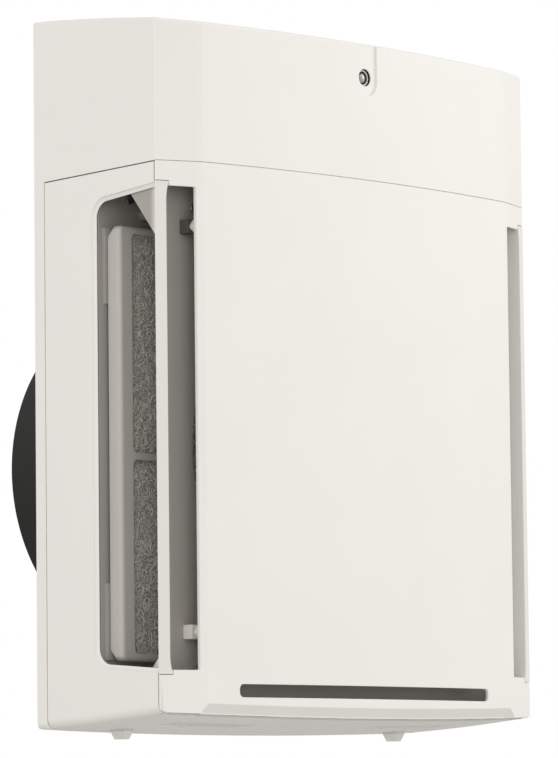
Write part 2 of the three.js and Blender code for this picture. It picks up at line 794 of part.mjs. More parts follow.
// The seat's hollow legs stand on the back plate, and the guide's legs stand on the seat.
function filterSeat() {
  const pieces = [box(-seatHalf, seatHalf, seatRear, seatDepth, seatBottom, seatTop)];
  const holes = [disc(ductRadius + seatHoleMargin, seatRear - 1, seatDepth + 1, 0, ductZ, 48)];
  for (const [, s] of sides) {
    const x0 = s > 0 ? seatHalf - padInset - padWidth : -seatHalf + padInset;
    for (const z of [filterTop - padOverhang, filterBottom + padOverhang + padHeight]) {
      pieces.push(box(x0, x0 + padWidth, seatDepth - legOverlap, filterRear - fit,
        z - padHeight, z));
    }
  }
  for (const [, x, z] of seatScrews) {
    pieces.push(disc(legRadius, backPlate + fit, seatRear + 1, x, z, 16));
    holes.push(disc(screwRadius + fit, 0, seatDepth + 1, x, z, 12));
  }
  for (const [, x, z] of guideScrews) {
    holes.push(disc(screwRadius + pilotGap, 0, seatDepth + 1, x, z, 12));
  }
  return cut(joined(...pieces), ...holes);
}

place('filter_seat', 'inner', filterSeat());

for (const [name, x, z] of seatScrews) {
  place(`seat_screw_${name}`, 'steel', screw(x, z, fit * 2, seatDepth + fit, flatHeadHeight));
}
for (const [name, x, z] of guideScrews) {
  place(`guide_screw_${name}`, 'steel', screw(x, z, seatDepth - 1.5, guideDepth + fit));
}

// ---------------------------------------------------------------- duct, seal and fan

place('wall_duct', 'black', turned([
  [bore, -ductReach], [ductRadius, -ductReach], [ductRadius, flangeRear],
  [flangeRadius, flangeRear], [flangeRadius, flangeFront], [bore, flangeFront],
  [bore, -ductReach],
], 0, ductZ, 64));

place('duct_seal', 'rubber', ring(ductRadius + sealInner, flangeRadius - sealOuter,
  backPlate + fit, flangeRear - fit, 0, ductZ, 48));

// The bracket's screws stand at the ends of the flange's two centre lines, the arms between them.
const bracketScrewPlaces = [];
for (let i = 0; i < bracketScrews; i++) {
  const a = i * 2 * Math.PI / bracketScrews;
  const r = flangeRadius - flangeWidth / 2;
  bracketScrewPlaces.push([r * Math.cos(a), ductZ + r * Math.sin(a)]);
}

function motorBracket() {
  const pieces = [
    ring(bore, flangeRadius, bracketRear, bracketFront, 0, ductZ, 48),
    disc(motorRadius + bracketMargin, bracketRear, bracketFront, 0, ductZ, 32),
  ];
  const reach = bore + 4;
  const arm = centredRect(0, 0, [reach, armWidth / 2]);
  for (let i = 0; i < armCount / 2; i++) {
    const turn = new THREE.Vector2(0, 0);
    const angle = Math.PI / armCount + i * 2 * Math.PI / armCount;
    const points = arm.map(([u, v]) => {
      const p = new THREE.Vector2(u, v).rotateAround(turn, angle);
      return [p.x, ductZ + p.y];
    });
    pieces.push(prismY(points, bracketRear, bracketFront));
  }
  const holes = [disc(bearingRadius + fit, bracketRear - 1, bracketFront + 1, 0, ductZ, 20)];
  for (const [x, z] of bracketScrewPlaces) {
    holes.push(disc(screwRadius + fit, bracketRear - 1, bracketFront + 1, x, z, 12));
  }
  return cut(joined(...pieces), ...holes);
}

place('motor_bracket', 'black', motorBracket());
bracketScrewPlaces.forEach(([x, z], i) => {
  place(`bracket_screw_${i + 1}`, 'steel', screw(x, z, bracketRear + pilotGap, bracketFront + fit));
});

const motorRear = bracketFront + fit;
const motorFront = motorRear + motorLength;
const shaftBore = shaftRadius + runningGap;
const bearingRoom = bearingRadius + fit;
const shaftRoom = shaftBore + bearingStep;

place('fan_motor', 'motor', turned([
  [bearingRoom, motorRear], [motorRadius, motorRear], [motorRadius, motorFront - motorChamfer],
  [motorRadius - motorChamfer, motorFront], [bearingRoom, motorFront],
  [bearingRoom, motorFront - bearingLength - fit], [shaftRoom, motorFront - bearingLength - fit],
  [shaftRoom, motorRear + bearingLength + fit], [bearingRoom, motorRear + bearingLength + fit],
  [bearingRoom, motorRear],
], 0, ductZ, 32));

for (const [where, d] of [['rear', motorRear], ['front', motorFront - bearingLength]]) {
  place(`motor_bearing_${where}`, 'steel',
    ring(shaftBore, bearingRadius, d, d + bearingLength, 0, ductZ, 24));
}

const hubFront = bracketRear - hubGap;
const hubRear = hubFront - hubLength;
const nutFront = hubRear - fit;
const nutRear = nutFront - nutThickness;

place('motor_shaft', 'steel', disc(shaftRadius, nutRear - 2, motorFront + 2, 0, ductZ, 16));

function blade(index) {
  const tip = bore - tipGap;
  const root = hubRadius - hubShell + 1;
  const middle = (hubFront + hubRear) / 2;
  const share = (r) => (r - root) / (tip - root);
  const steps = 5;
  const positions = [];
  for (let i = 0; i <= steps; i++) {
    const r = root + (tip - root) * i / steps;
    const angle = THREE.MathUtils.degToRad(bladeRootAngle - bladeTwist * share(r));
    const chord = bladeRootChord + (bladeTipChord - bladeRootChord) * share(r);
    const half = Math.min(chord, (hubLength - 4) / Math.sin(angle)) / 2;
    for (const [u, v] of [[-1, -1], [1, -1], [1, 1], [-1, 1]]) {
      const along = u * half;
      const off = v * bladeThickness / 2;
      const swing = (along * Math.cos(angle) - off * Math.sin(angle)) / r;
      const depth = middle + along * Math.sin(angle) + off * Math.cos(angle);
      const a = swing + index * 2 * Math.PI / bladeCount;
      positions.push(r * Math.cos(a), -depth, ductZ + r * Math.sin(a));
    }
  }
  const faces = [];
  for (let i = 0; i < steps; i++) {
    for (let k = 0; k < 4; k++) {
      const a = i * 4 + k;
      const b = i * 4 + (k + 1) % 4;
      faces.push(a, b, b + 4, a, b + 4, a + 4);
    }
  }
  const last = steps * 4;
  faces.push(0, 2, 1, 0, 3, 2, last, last + 1, last + 2, last, last + 2, last + 3);
  return fromFaces(positions, faces);
}

function impeller() {
  const hub = turned([
    [shaftBore, hubRear], [hubRadius - hubNose, hubRear], [hubRadius, hubRear + hubNose],
    [hubRadius, hubFront], [hubRadius - hubShell, hubFront],
    [hubRadius - hubShell, hubRear + hubFloor], [shaftRadius + hubBoss, hubRear + hubFloor],
    [shaftRadius + hubBoss, hubFront - hubGap], [shaftBore, hubFront - hubGap],
    [shaftBore, hubRear],
  ], 0, ductZ, 40);
  const blades = Array.from({ length: bladeCount }, (_, i) => blade(i));
  return joined(hub, ...blades);
}

place('impeller', 'black', impeller());
place('impeller_nut', 'steel', cut(disc(nutRadius, nutRear, nutFront, 0, ductZ, 6),
  disc(shaftBore, nutRear - 1, nutFront + 1, 0, ductZ, 16)));

// ---------------------------------------------------------------- head: floor, boards and lens

const floorZ = seamFront + floorRise;
const floorTop = floorZ + floorThickness;

place('head_floor', 'inner', cut(
  prismZ(inset(sharpOutline, wall + floorGap), floorZ, floorTop),
  box(-width, width, -5, backPlate + fit, farDown, farUp),
  box(-cableSlot.half, cableSlot.half, cableSlot.rear, cableSlot.front, floorZ - 1, floorTop + 1)));

const boardZ = floorTop + boardLift;
place('control_board', 'board', box(controlBoard.x0, controlBoard.x1, controlBoard.rear,
  controlBoard.front, boardZ, boardZ + boardThickness));
for (const [end, d] of [['rear', controlBoard.rear + spacerInset],
  ['front', controlBoard.front - spacerInset]]) {
  for (const [side, x] of [['left', controlBoard.x0 + spacerInset],
    ['right', controlBoard.x1 - spacerInset]]) {
    const h = spacerHalf;
    place(`board_spacer_${end}_${side}`, 'inner',
      prismZ(roundedRect(x - h, d - h, x + h, d + h, 2), floorTop + fit, boardZ - fit));
  }
}

for (const [name, finish, part] of [['power_supply', 'motor', powerSupply],
  ['terminal_block', 'black', terminalBlock]]) {
  place(name, finish, box(part.x0, part.x1, part.rear, part.front, floorTop + fit,
    floorTop + part.height));
}

const gripFront = backPlate + fit + 2;
place('cable_grommet', 'rubber', joined(
  ring(cableRadius - cableWall, cableRadius, -0.01, gripFront, cableX, cableZ, 20),
  ring(cableRadius - cableWall, cableRadius + cableWall, backPlate + fit, gripFront,
    cableX, cableZ, 20)));

const lensFront = frontDepth - padSink - lensSink;
const lensRadius = lensRingRadius - lensRingWidth - runningGap;
place('sensor_collar', 'white', ring(lensRingRadius + fit, lensHoleRadius - lensCollarGap,
  lensFront - lensRingLength, lensFront, 0, lensHeight, 24));
place('sensor_bezel', 'black', ring(lensRingRadius - lensRingWidth, lensRingRadius,
  lensFront - lensRingLength, lensFront, 0, lensHeight, 24));
place('sensor_lens', 'glass', turned([
  [0, lensFront - lensRingLength + 1], [lensRadius, lensFront - lensRingLength + 1],
  [lensRadius, lensFront - lensEdge], [lensRadius - 2 * lensEdge, lensFront],
  [0, lensFront + lensDome],
], 0, lensHeight, 20));
const sensorFront = lensFront - lensRingLength - fit;
place('sensor_board', 'board', box(-sensorHalfWidth, sensorHalfWidth,
  sensorFront - boardThickness, sensorFront, lensHeight - sensorHalfHeight,
  lensHeight + sensorHalfHeight));

// ---------------------------------------------------------------- catches under the body

function spring(x, z0, z1) {
  class Coil extends THREE.Curve {
    getPoint(t, target = new THREE.Vector3()) {
      const a = t * springTurns * 2 * Math.PI;
      return target.set(x + springRadius * Math.cos(a), -catchDepth + springRadius * Math.sin(a),
        z0 + (z1 - z0) * t);
    }
  }
  const points = arc(0, 0, springWire, 0, 300, 5).map((p) => new THREE.Vector2(...p));
  return toSolid(new THREE.ExtrudeGeometry(new THREE.Shape(points), {
    steps: springTurns * 10, extrudePath: new Coil(), bevelEnabled: false,
  }));
}

const catchFloor = bottomZ(catchSpacing / 2, catchDepth) + wall;
const catchHeadZ = catchFloor + catchHeadGap;
const catchRoomTop = catchHeadZ + catchGuideHeight - catchGuideWall;
const catchShoulder = catchFloor - wall - 1;

for (const [side, s] of sides) {
  const rect = (size, more = 0) => (
    centredRect(s * catchSpacing / 2, catchDepth, size.map((v) => v + more)));
  place(`catch_${side}`, 'white', joined(
    prismZ(rect(catchHead), catchHeadZ, catchHeadZ + catchHeadThickness),
    prismZ(rect(catchBody), catchShoulder, catchHeadZ + 1),
    taper(rect(catchBody), catchShoulder + 0.1, rect(catchTip), catchFloor - wall - catchReach)));
  place(`catch_guide_${side}`, 'inner', cut(
    prismZ(rect(catchHead, catchRoomGap + catchGuideWall), catchHeadZ - catchGuideSkirt,
      catchHeadZ + catchGuideHeight),
    between((x, d) => bottomZ(x, d) + wall + fit, farDown),
    prismZ(rect(catchHead, catchRoomGap), catchHeadZ - catchGuideSkirt - 1, catchRoomTop)));
  place(`catch_spring_${side}`, 'steel', spring(s * catchSpacing / 2,
    catchHeadZ + catchHeadThickness + springGap, catchRoomTop - springGap));
}

export default purifier;
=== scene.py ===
import math
import random

import bmesh
import bpy
from mathutils import Matrix, Vector


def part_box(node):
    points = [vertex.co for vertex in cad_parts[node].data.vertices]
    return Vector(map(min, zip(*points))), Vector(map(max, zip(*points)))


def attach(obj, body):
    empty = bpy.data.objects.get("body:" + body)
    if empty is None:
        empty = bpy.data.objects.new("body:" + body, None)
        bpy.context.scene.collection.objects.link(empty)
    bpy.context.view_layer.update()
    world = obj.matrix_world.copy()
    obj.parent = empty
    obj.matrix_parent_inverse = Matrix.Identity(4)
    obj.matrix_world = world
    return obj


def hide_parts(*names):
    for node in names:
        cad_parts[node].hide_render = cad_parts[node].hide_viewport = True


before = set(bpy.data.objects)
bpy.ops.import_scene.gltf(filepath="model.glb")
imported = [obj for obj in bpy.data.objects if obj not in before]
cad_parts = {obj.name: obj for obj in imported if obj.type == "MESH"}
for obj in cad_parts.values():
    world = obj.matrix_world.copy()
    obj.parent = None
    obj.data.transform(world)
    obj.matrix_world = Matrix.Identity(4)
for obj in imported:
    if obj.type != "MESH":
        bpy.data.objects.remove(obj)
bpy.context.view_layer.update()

scene = bpy.context.scene
scene.view_settings.view_transform = "Standard"

# ---------------------------------------------------------------- camera
# Eye below the body, off its left-hand front corner, looking slightly up through a long lens.
eye = Vector((-2.482, -2.428, -0.518))
heading = Vector((0.7226, 0.6913, 0.0)).normalized()
pitch = math.radians(5.417)
roll = math.radians(-0.634)

camera_data = bpy.data.cameras.new("camera")
camera_data.lens = 223.3
camera_data.sensor_width = 36.0
camera_data.clip_end = 50.0
camera = bpy.data.objects.new("camera", camera_data)
scene.collection.objects.link(camera)
forward = heading * math.cos(pitch) + Vector((0, 0, math.sin(pitch)))
level = forward.cross(Vector((0, 0, 1))).normalized()
upward = level.cross(forward)
right_hand = level * math.cos(roll) + upward * math.sin(roll)
upward = right_hand.cross(forward)
camera.matrix_world = Matrix((
    (right_hand.x, upward.x, -forward.x, eye.x),
    (right_hand.y, upward.y, -forward.y, eye.y),
    (right_hand.z, upward.z, -forward.z, eye.z),
    (0, 0, 0, 1)))
scene.camera = camera

# ---------------------------------------------------------------- studio
# A plain pale floor below the wall-hung body and a white surround that lights less than it shows. Three
# large soft lights: a key from the right, a fill from the left of the front, and one along the left side.
FLOOR_REACH = 6.0
FLOOR_HEIGHT = -1.2
floor_mesh = bpy.data.meshes.new("studio_floor")
floor_mesh.from_pydata([(x * FLOOR_REACH, y * FLOOR_REACH, FLOOR_HEIGHT)
                        for x, y in ((-1, -1), (1, -1), (1, 1), (-1, 1))], [], [(0, 1, 2, 3)])
floor = bpy.data.objects.new("studio_floor", floor_mesh)
scene.collection.objects.link(floor)
floor_paint = bpy.data.materials.new("studio_floor")
floor_paint.use_nodes = True
floor_shader = floor_paint.node_tree.nodes["Principled BSDF"]
floor_shader.inputs["Base Color"].default_value = (0.60, 0.595, 0.585, 1)
floor_shader.inputs["Roughness"].default_value = 0.8
floor_mesh.materials.append(floor_paint)

world = bpy.data.worlds.new("studio")
world.use_nodes = True
scene.world = world
world_tree = world.node_tree
surround = world_tree.nodes["Background"]
surround.inputs["Color"].default_value = (1.0, 0.99, 0.975, 1)
surround.inputs["Strength"].default_value = 0.79
backdrop = world_tree.nodes.new("ShaderNodeBackground")
backdrop.inputs["Color"].default_value = (1, 1, 1, 1)
backdrop.inputs["Strength"].default_value = 1.0
seen = world_tree.nodes.new("ShaderNodeLightPath")
either = world_tree.nodes.new("ShaderNodeMixShader")
world_tree.links.new(seen.outputs["Is Camera Ray"], either.inputs["Fac"])
world_tree.links.new(surround.outputs["Background"], either.inputs[1])
world_tree.links.new(backdrop.outputs["Background"], either.inputs[2])
world_tree.links.new(either.outputs["Shader"], world_tree.nodes["World Output"].inputs["Surface"])

LIGHT_AIM = (0, 0, -0.2)


def soft_light(name, place, size, power):
    """A large rectangular light aimed at the middle of the body."""
    data = bpy.data.lights.new(name, "AREA")
    data.shape = "RECTANGLE"
    data.size, data.size_y = size
    data.energy = power
    data.color = (1.0, 0.985, 0.965)
    lamp = bpy.data.objects.new(name, data)
    lamp.location = place
    aim = Vector(LIGHT_AIM) - Vector(place)
    lamp.rotation_euler = aim.to_track_quat("-Z", "Y").to_euler()
    scene.collection.objects.link(lamp)


soft_light("key", (2.7, -1.9, 1.1), (1.8, 1.8), 43)
soft_light("fill", (-2.3, -2.3, 0.1), (2.2, 1.8), 22)
soft_light("side", (-2.9, 0.5, 0.8), (1.6, 1.6), 10)

# ---------------------------------------------------------------- main housing
# White ABS moulding: the full-depth head, the back plate that hangs on two wall screws and the shallow
# rim round it. Its front is bowed between two slanted corner facets, and all edges are lightly rounded.
HALF_WIDTH = 195.0
SIDE_DEPTH = 121.6
FACE_HALF = 165.5
FACE_DEPTH = 133.6
BOW_HALF = 159.4
BOW_DEPTH = 135.1
BOW = 9.3
COVER_WALL = 2.5
SEAM = 0.8
TRAY_RIM = 10.0
BACK_PLATE = 3.0
FACET_DEPTH = 123.8
HEAD_RISE = 56.5
HEAD_FALL = 11.5
HEAD_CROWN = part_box("main_housing")[1].z * 1000 - HEAD_RISE


def share(x):
    """1 in the middle of the body's width, falling to 0 at its sides."""
    return 1 - (x / HALF_WIDTH) ** 2


def top_z(x, d):
    """Height of the head's top, which falls forwards and is crowned across."""
    return HEAD_RISE - HEAD_FALL * (max(d, 0) / SIDE_DEPTH) ** 1.3 + HEAD_CROWN * share(x)


def seam_z(x, d):
    """Height of the joint line below the head."""
    return -60.4 + 4.6 * d / SIDE_DEPTH + 0.6 * share(x)


def bottom_z(x, d):
    """Height of the underside, which rises forwards and sags across."""
    return -449.0 + 8.2 * (max(d, 0) / SIDE_DEPTH) ** 1.5 - 3.1 * share(x)


def bow_depth(x):
    """Depth of the bowed front face."""
    return BOW_DEPTH + BOW * (1 - (x / BOW_HALF) ** 2)


def soft_corner(before, corner, after, lead, steps=5):
    """A corner of an outline, rounded from lead before it to lead past it."""
    c = Vector(corner)
    a = c + (Vector(before) - c).normalized() * lead
    b = c + (Vector(after) - c).normalized() * lead
    return [tuple(a.lerp(c, t).lerp(c.lerp(b, t), t)) for t in (i / steps for i in range(steps + 1))]


def plan_front(start, side_steps=10):
    """The plan outline from depth start on the right side round the front to the left side."""
    bow_steps = 40
    side, facet, strip = (HALF_WIDTH, FACET_DEPTH), (FACE_HALF, FACE_DEPTH), (BOW_HALF, BOW_DEPTH)
    inner = (BOW_HALF - 8, bow_depth(BOW_HALF - 8))
    right = [(HALF_WIDTH, start + (SIDE_DEPTH - start) * i / side_steps) for i in range(side_steps)]
    right += soft_corner((HALF_WIDTH, 0), side, facet, 2.2, 7)
    right += soft_corner(side, facet, strip, 1.0, 3)
    right += [tuple(Vector(facet).lerp(Vector(strip), i / 6)) for i in range(2, 5)]
    right += soft_corner(facet, strip, inner, 1.0, 3)
    columns = ((BOW_HALF - 2) * (1 - i / bow_steps) for i in range(bow_steps))
    right += [(x, bow_depth(x)) for x in columns]
    return right + [(0.0, bow_depth(0))] + [(-x, d) for x, d in reversed(right)]


def shrunk(points, t, closed=True):
    """An anticlockwise outline with every edge moved inwards by t."""
    n = len(points)
    moved = []
    for i, p in enumerate(points):
        before = points[i - 1] if closed or i else None
        after = points[(i + 1) % n] if closed or i < n - 1 else None
        normals = []
        for a, b in ((before, p), (p, after)):
            if a is not None and b is not None:
                along = (Vector(b) - Vector(a)).normalized()
                normals.append(Vector((-along.y, along.x)))
        middle = sum(normals, Vector((0, 0))).normalized()
        moved.append(tuple(Vector(p) + middle * (t / max(0.3, middle.dot(normals[0])))))
    return moved


def piece(name, points, faces):
    """A new object from points in millimetres: across, depth in front of the wall, and height."""
    mesh = bpy.data.meshes.new(name)
    mesh.from_pydata([(x / 1000, -d / 1000, z / 1000) for x, d, z in points], [], faces)
    obj = bpy.data.objects.new(name, mesh)
    scene.collection.objects.link(obj)
    work = bmesh.new()
    work.from_mesh(mesh)
    bmesh.ops.remove_doubles(work, verts=work.verts, dist=1e-6)
    bmesh.ops.recalc_face_normals(work, faces=work.faces)
    if work.calc_volume(signed=True) < 0:
        bmesh.ops.reverse_faces(work, faces=work.faces)
    work.to_mesh(mesh)
    work.free()
    return obj


def lofted(name, rings, loop=False):
    """A closed skin through rings of equal point count, capped at both ends unless it is a loop."""
    n = len(rings[0])
    points = [p for ring in rings for p in ring]
    faces = []
    for j in range(len(rings) - (0 if loop else 1)):
        a, b = j * n, (j + 1) % len(rings) * n
        faces += [(a + i, a + (i + 1) % n, b + (i + 1) % n, b + i) for i in range(n)]
    if not loop:
        faces += [tuple(range(n)), tuple(range(len(points) - n, len(points)))]
    return piece(name, points, faces)


def prism(name, outline, axis, low, high):
    """An outline pushed along x, depth or z. Its points give the other two measures, in that order."""
    def at(p, v):
        return {"x": (v, p[0], p[1]), "depth": (p[0], v, p[1]), "z": (p[0], p[1], v)}[axis]
    return lofted(name, [[at(p, low) for p in outline], [at(p, high) for p in outline]])


def arc(cx, cy, radius, start, end, steps):
    turns = (math.radians(start + (end - start) * i / steps) for i in range(steps + 1))
    return [(cx + radius * math.cos(a), cy + radius * math.sin(a)) for a in turns]


def rounded_box(x0, y0, x1, y1, r, steps=6):
    return (arc(x1 - r, y1 - r, r, 0, 90, steps) + arc(x0 + r, y1 - r, r, 90, 180, steps)
            + arc(x0 + r, y0 + r, r, 180, 270, steps) + arc(x1 - r, y0 + r, r, 270, 360, steps))


def shaped(target, tools, how="DIFFERENCE"):
    """Cuts tools away from target, or joins them to it, and removes them."""
    for tool in tools:
        change = target.modifiers.new("shape", "BOOLEAN")
        change.operation = how
        change.solver = "EXACT"
        change.object = tool
    bpy.context.view_layer.update()
    mesh = bpy.data.meshes.new_from_object(target.evaluated_get(bpy.context.evaluated_depsgraph_get()))
    target.modifiers.clear()
    target.data = mesh
    for tool in tools:
        bpy.data.objects.remove(tool)
    return target


def eased(obj, radius=0.35, steps=2, sharp=32):
    """Rounds every sharp edge a little and shades the faces smooth between them."""
    work = bmesh.new()
    work.from_mesh(obj.data)
    bmesh.ops.remove_doubles(work, verts=work.verts, dist=2e-6)
    bmesh.ops.dissolve_limit(work, angle_limit=math.radians(0.2), verts=work.verts, edges=work.edges)
    work.to_mesh(obj.data)
    work.free()
    for face in obj.data.polygons:
        face.use_smooth = True
    edge = obj.modifiers.new("edge", "BEVEL")
    edge.width = radius / 1000
    edge.segments = steps
    edge.limit_method = "ANGLE"
    edge.angle_limit = math.radians(sharp)
    edge.use_clamp_overlap = False
    normals = obj.modifiers.new("normals", "WEIGHTED_NORMAL")
    normals.keep_sharp = True
    return obj


def moulded_skin():
    """Shader group: moulded plastic with faint mottling, settled dust and a fine grain."""
    group = bpy.data.node_groups.new("moulded_skin", "ShaderNodeTree")
    face = group.interface
    for label, kind, value in (
            ("Base", "NodeSocketColor", (0.8, 0.8, 0.8, 1)),
            ("Dust", "NodeSocketColor", (0.7, 0.68, 0.64, 1)),
            ("Dust Amount", "NodeSocketFloat", 0.1), ("Roughness", "NodeSocketFloat", 0.45),
            ("Grain Size", "NodeSocketFloat", 900.0), ("Mottle", "NodeSocketFloat", 0.02)):
        face.new_socket(label, in_out="INPUT", socket_type=kind).default_value = value
    for label, kind in (("Color", "NodeSocketColor"), ("Roughness", "NodeSocketFloat"),
                        ("Height", "NodeSocketFloat")):
        face.new_socket(label, in_out="OUTPUT", socket_type=kind)
    make, link = group.nodes.new, group.links.new
    given = make("NodeGroupInput")
    out = make("NodeGroupOutput")
    where = make("ShaderNodeTexCoord")
    grain = make("ShaderNodeTexNoise")
    grain.inputs["Detail"].default_value = 3.0
    link(where.outputs["Object"], grain.inputs["Vector"])
    link(given.outputs["Grain Size"], grain.inputs["Scale"])
    cloud = make("ShaderNodeTexNoise")
    cloud.inputs["Scale"].default_value = 14.0
    cloud.inputs["Detail"].default_value = 5.0
    link(where.outputs["Object"], cloud.inputs["Vector"])
    shift = make("ShaderNodeMapRange")
    shift.inputs["From Min"].default_value = 0.3
    shift.inputs["From Max"].default_value = 0.7
    shift.inputs["To Min"].default_value = -0.5
    shift.inputs["To Max"].default_value = 0.5
    link(cloud.outputs["Fac"], shift.inputs["Value"])
    tone = make("ShaderNodeMath")
    tone.operation = "MULTIPLY_ADD"
    link(shift.outputs["Result"], tone.inputs[0])
    link(given.outputs["Mottle"], tone.inputs[1])
    tone.inputs[2].default_value = 1.0
    toned = make("ShaderNodeVectorMath")
    toned.operation = "SCALE"
    link(given.outputs["Base"], toned.inputs[0])
    link(tone.outputs["Value"], toned.inputs["Scale"])
    normal = make("ShaderNodeNewGeometry")
    split = make("ShaderNodeSeparateXYZ")
    link(normal.outputs["Normal"], split.inputs["Vector"])
    upper = make("ShaderNodeMapRange")
    upper.inputs["From Min"].default_value = 0.4
    upper.inputs["From Max"].default_value = 1.0
    link(split.outputs["Z"], upper.inputs["Value"])
    patch = make("ShaderNodeMath")
    patch.operation = "MULTIPLY"
    link(upper.outputs["Result"], patch.inputs[0])
    link(cloud.outputs["Fac"], patch.inputs[1])
    dusty = make("ShaderNodeMath")
    dusty.operation = "MULTIPLY"
    link(patch.outputs["Value"], dusty.inputs[0])
    link(given.outputs["Dust Amount"], dusty.inputs[1])
    blend = make("ShaderNodeMix")
    blend.data_type = "RGBA"
    link(dusty.outputs["Value"], blend.inputs["Factor"])
    link(toned.outputs["Vector"], blend.inputs["A"])
    link(given.outputs["Dust"], blend.inputs["B"])
    link(blend.outputs["Result"], out.inputs["Color"])
    rough = make("ShaderNodeMath")
    rough.operation = "MULTIPLY_ADD"
    link(grain.outputs["Fac"], rough.inputs[0])
    rough.inputs[1].default_value = 0.12
    link(given.outputs["Roughness"], rough.inputs[2])
    link(rough.outputs["Value"], out.inputs["Roughness"])
    link(grain.outputs["Fac"], out.inputs["Height"])
    return group


skin = moulded_skin()


def plastic(name, colour, dust, roughness, grain=900.0, depth=0.00006, mottle=0.02, dustiness=0.15):
    """A moulded plastic: one Principled shader fed by the shared skin group."""
    made = bpy.data.materials.new(name)
    made.use_nodes = True
    tree = made.node_tree
    shader = tree.nodes["Principled BSDF"]
    shader.inputs["IOR"].default_value = 1.49
    shader.inputs["Specular IOR Level"].default_value = 0.4
    cover = tree.nodes.new("ShaderNodeGroup")
    cover.node_tree = skin
    cover.inputs["Base"].default_value = (*colour, 1)
    cover.inputs["Dust"].default_value = (*dust, 1)
    cover.inputs["Dust Amount"].default_value = dustiness
    cover.inputs["Roughness"].default_value = roughness
    cover.inputs["Grain Size"].default_value = grain
    cover.inputs["Mottle"].default_value = mottle
    bump = tree.nodes.new("ShaderNodeBump")
    bump.inputs["Strength"].default_value = 0.35
    bump.inputs["Distance"].default_value = depth
    tree.links.new(cover.outputs["Height"], bump.inputs["Height"])
    tree.links.new(cover.outputs["Color"], shader.inputs["Base Color"])
    tree.links.new(cover.outputs["Roughness"], shader.inputs["Roughness"])
    tree.links.new(bump.outputs["Normal"], shader.inputs["Normal"])
    return made


def fitted(obj, body, slot, material, *nodes):
    """Gives a finished piece its material and body, and hides the CAD nodes that it stands for. The slot is
    not used.
    """
    obj.data.materials.clear()
    obj.data.materials.append(material)
    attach(obj, body)
    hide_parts(*nodes)


white_plastic = plastic("white_plastic", (0.80, 0.79, 0.755), (0.62, 0.60, 0.56), 0.42)


def domed(outline, height, centre, levels):
    """Rings that shrink an outline onto its centre along a crowned surface."""
    rings = []
    for level in levels:
        ring = [Vector(centre).lerp(Vector(p), level) for p in outline]
        rings.append([(x, d, height(x, d)) for x, d in ring])
    return rings


def middle_of(node):
    """Where a CAD node's middle lies in front view, in millimetres across and up."""
    low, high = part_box(node)
    return (low.x + high.x) * 500, (low.z + high.z) * 500


HEAD_ROUND = 2.2
HEAD_MIDDLE = (0.0, 66.0)
LENS_Z = middle_of("sensor_lens")[1]
PAD_DROP = 2.3
PAD_HALF = 11.5
PAD_SINK = 1.4
LENS_HOLE = 6.3
DUCT_HOLE = 125.8
CABLE_HOLE = (-110, -26, 8.4)
KEYHOLE = (120.0, -9, 5)
KEY_SLOT_HALF = 2.75
LOW_HOLE = (169, -425, 2.2)
SEAT_HOLE = 2.0
THROUGH_BACK = (-5, 6)
CORNERS = ("upper_left", "upper_right", "lower_left", "lower_right")
DUCT_Z = middle_of("wall_duct")[1]

outer_plan = [(HALF_WIDTH, 0.0)] + plan_front(2.0) + [(-HALF_WIDTH, 0.0)]
outer_plan += [(HALF_WIDTH * (i / 12 - 1), 0.0) for i in range(1, 24)]
inner_plan = shrunk(outer_plan, COVER_WALL)
inner_plan = [(x, max(d, BACK_PLATE)) for x, d in inner_plan]


def against_wall(inset):
    """The head's outline moved inwards everywhere but on the wall side."""
    return [(x, 0.0 if d == 0 else e) for (_, d), (x, e) in zip(outer_plan, shrunk(outer_plan, inset))]


shrink_levels = [0.97, 0.9, 0.8, 0.65, 0.5, 0.35, 0.2, 0.08, 0.004]
head_rings = domed(inner_plan, lambda x, d: top_z(x, d) - COVER_WALL, HEAD_MIDDLE, shrink_levels[::-1])
head_rings.append([(x, d, top_z(x, d) - COVER_WALL) for x, d in inner_plan])
head_rings.append([(x, d, seam_z(x, d)) for x, d in inner_plan])
head_rings.append([(x, d, seam_z(x, d)) for x, d in outer_plan])
for step in range(7):
    turn = math.radians(90 * step / 6)
    ring = against_wall(HEAD_ROUND * (1 - math.cos(turn)))
    head_rings.append([(x, d, top_z(x, d) - HEAD_ROUND * (1 - math.sin(turn))) for x, d in ring])
head_rings += domed(against_wall(HEAD_ROUND), top_z, HEAD_MIDDLE, shrink_levels)
housing = lofted("housing_moulding", head_rings)

TRAY_CORNER = 4.0
TRAY_TOP = -56.0


def tray_outline(inset, corner):
    """The rim's outline in front view, open into the head at its top."""
    half = HALF_WIDTH - inset
    low = bottom_z(HALF_WIDTH, 0) + inset
    left = arc(-half + corner, low + corner, corner, 180, 270, 6)
    right = arc(half - corner, low + corner, corner, 270, 360, 6)
    columns = (-half + corner + (2 * half - 2 * corner) * i / 16 for i in range(1, 16))
    sag = [(x, bottom_z(x, 0) + inset) for x in columns]
    return [(-half, TRAY_TOP)] + left + sag + right + [(half, TRAY_TOP)]


rim = prism("rim", tray_outline(0, TRAY_CORNER), "depth", 0, TRAY_RIM)
room = prism("room", tray_outline(COVER_WALL, TRAY_CORNER - 1.5), "depth", BACK_PLATE, TRAY_RIM + 2)
shaped(rim, [room])
shaped(housing, [rim], "UNION")


def rod(name, x, z, radius, low, high, steps=48):
    """A round bar that runs from the back towards the front."""
    return prism(name, arc(x, z, radius, 0, 360 - 360 / steps, steps - 1), "depth", low, high)


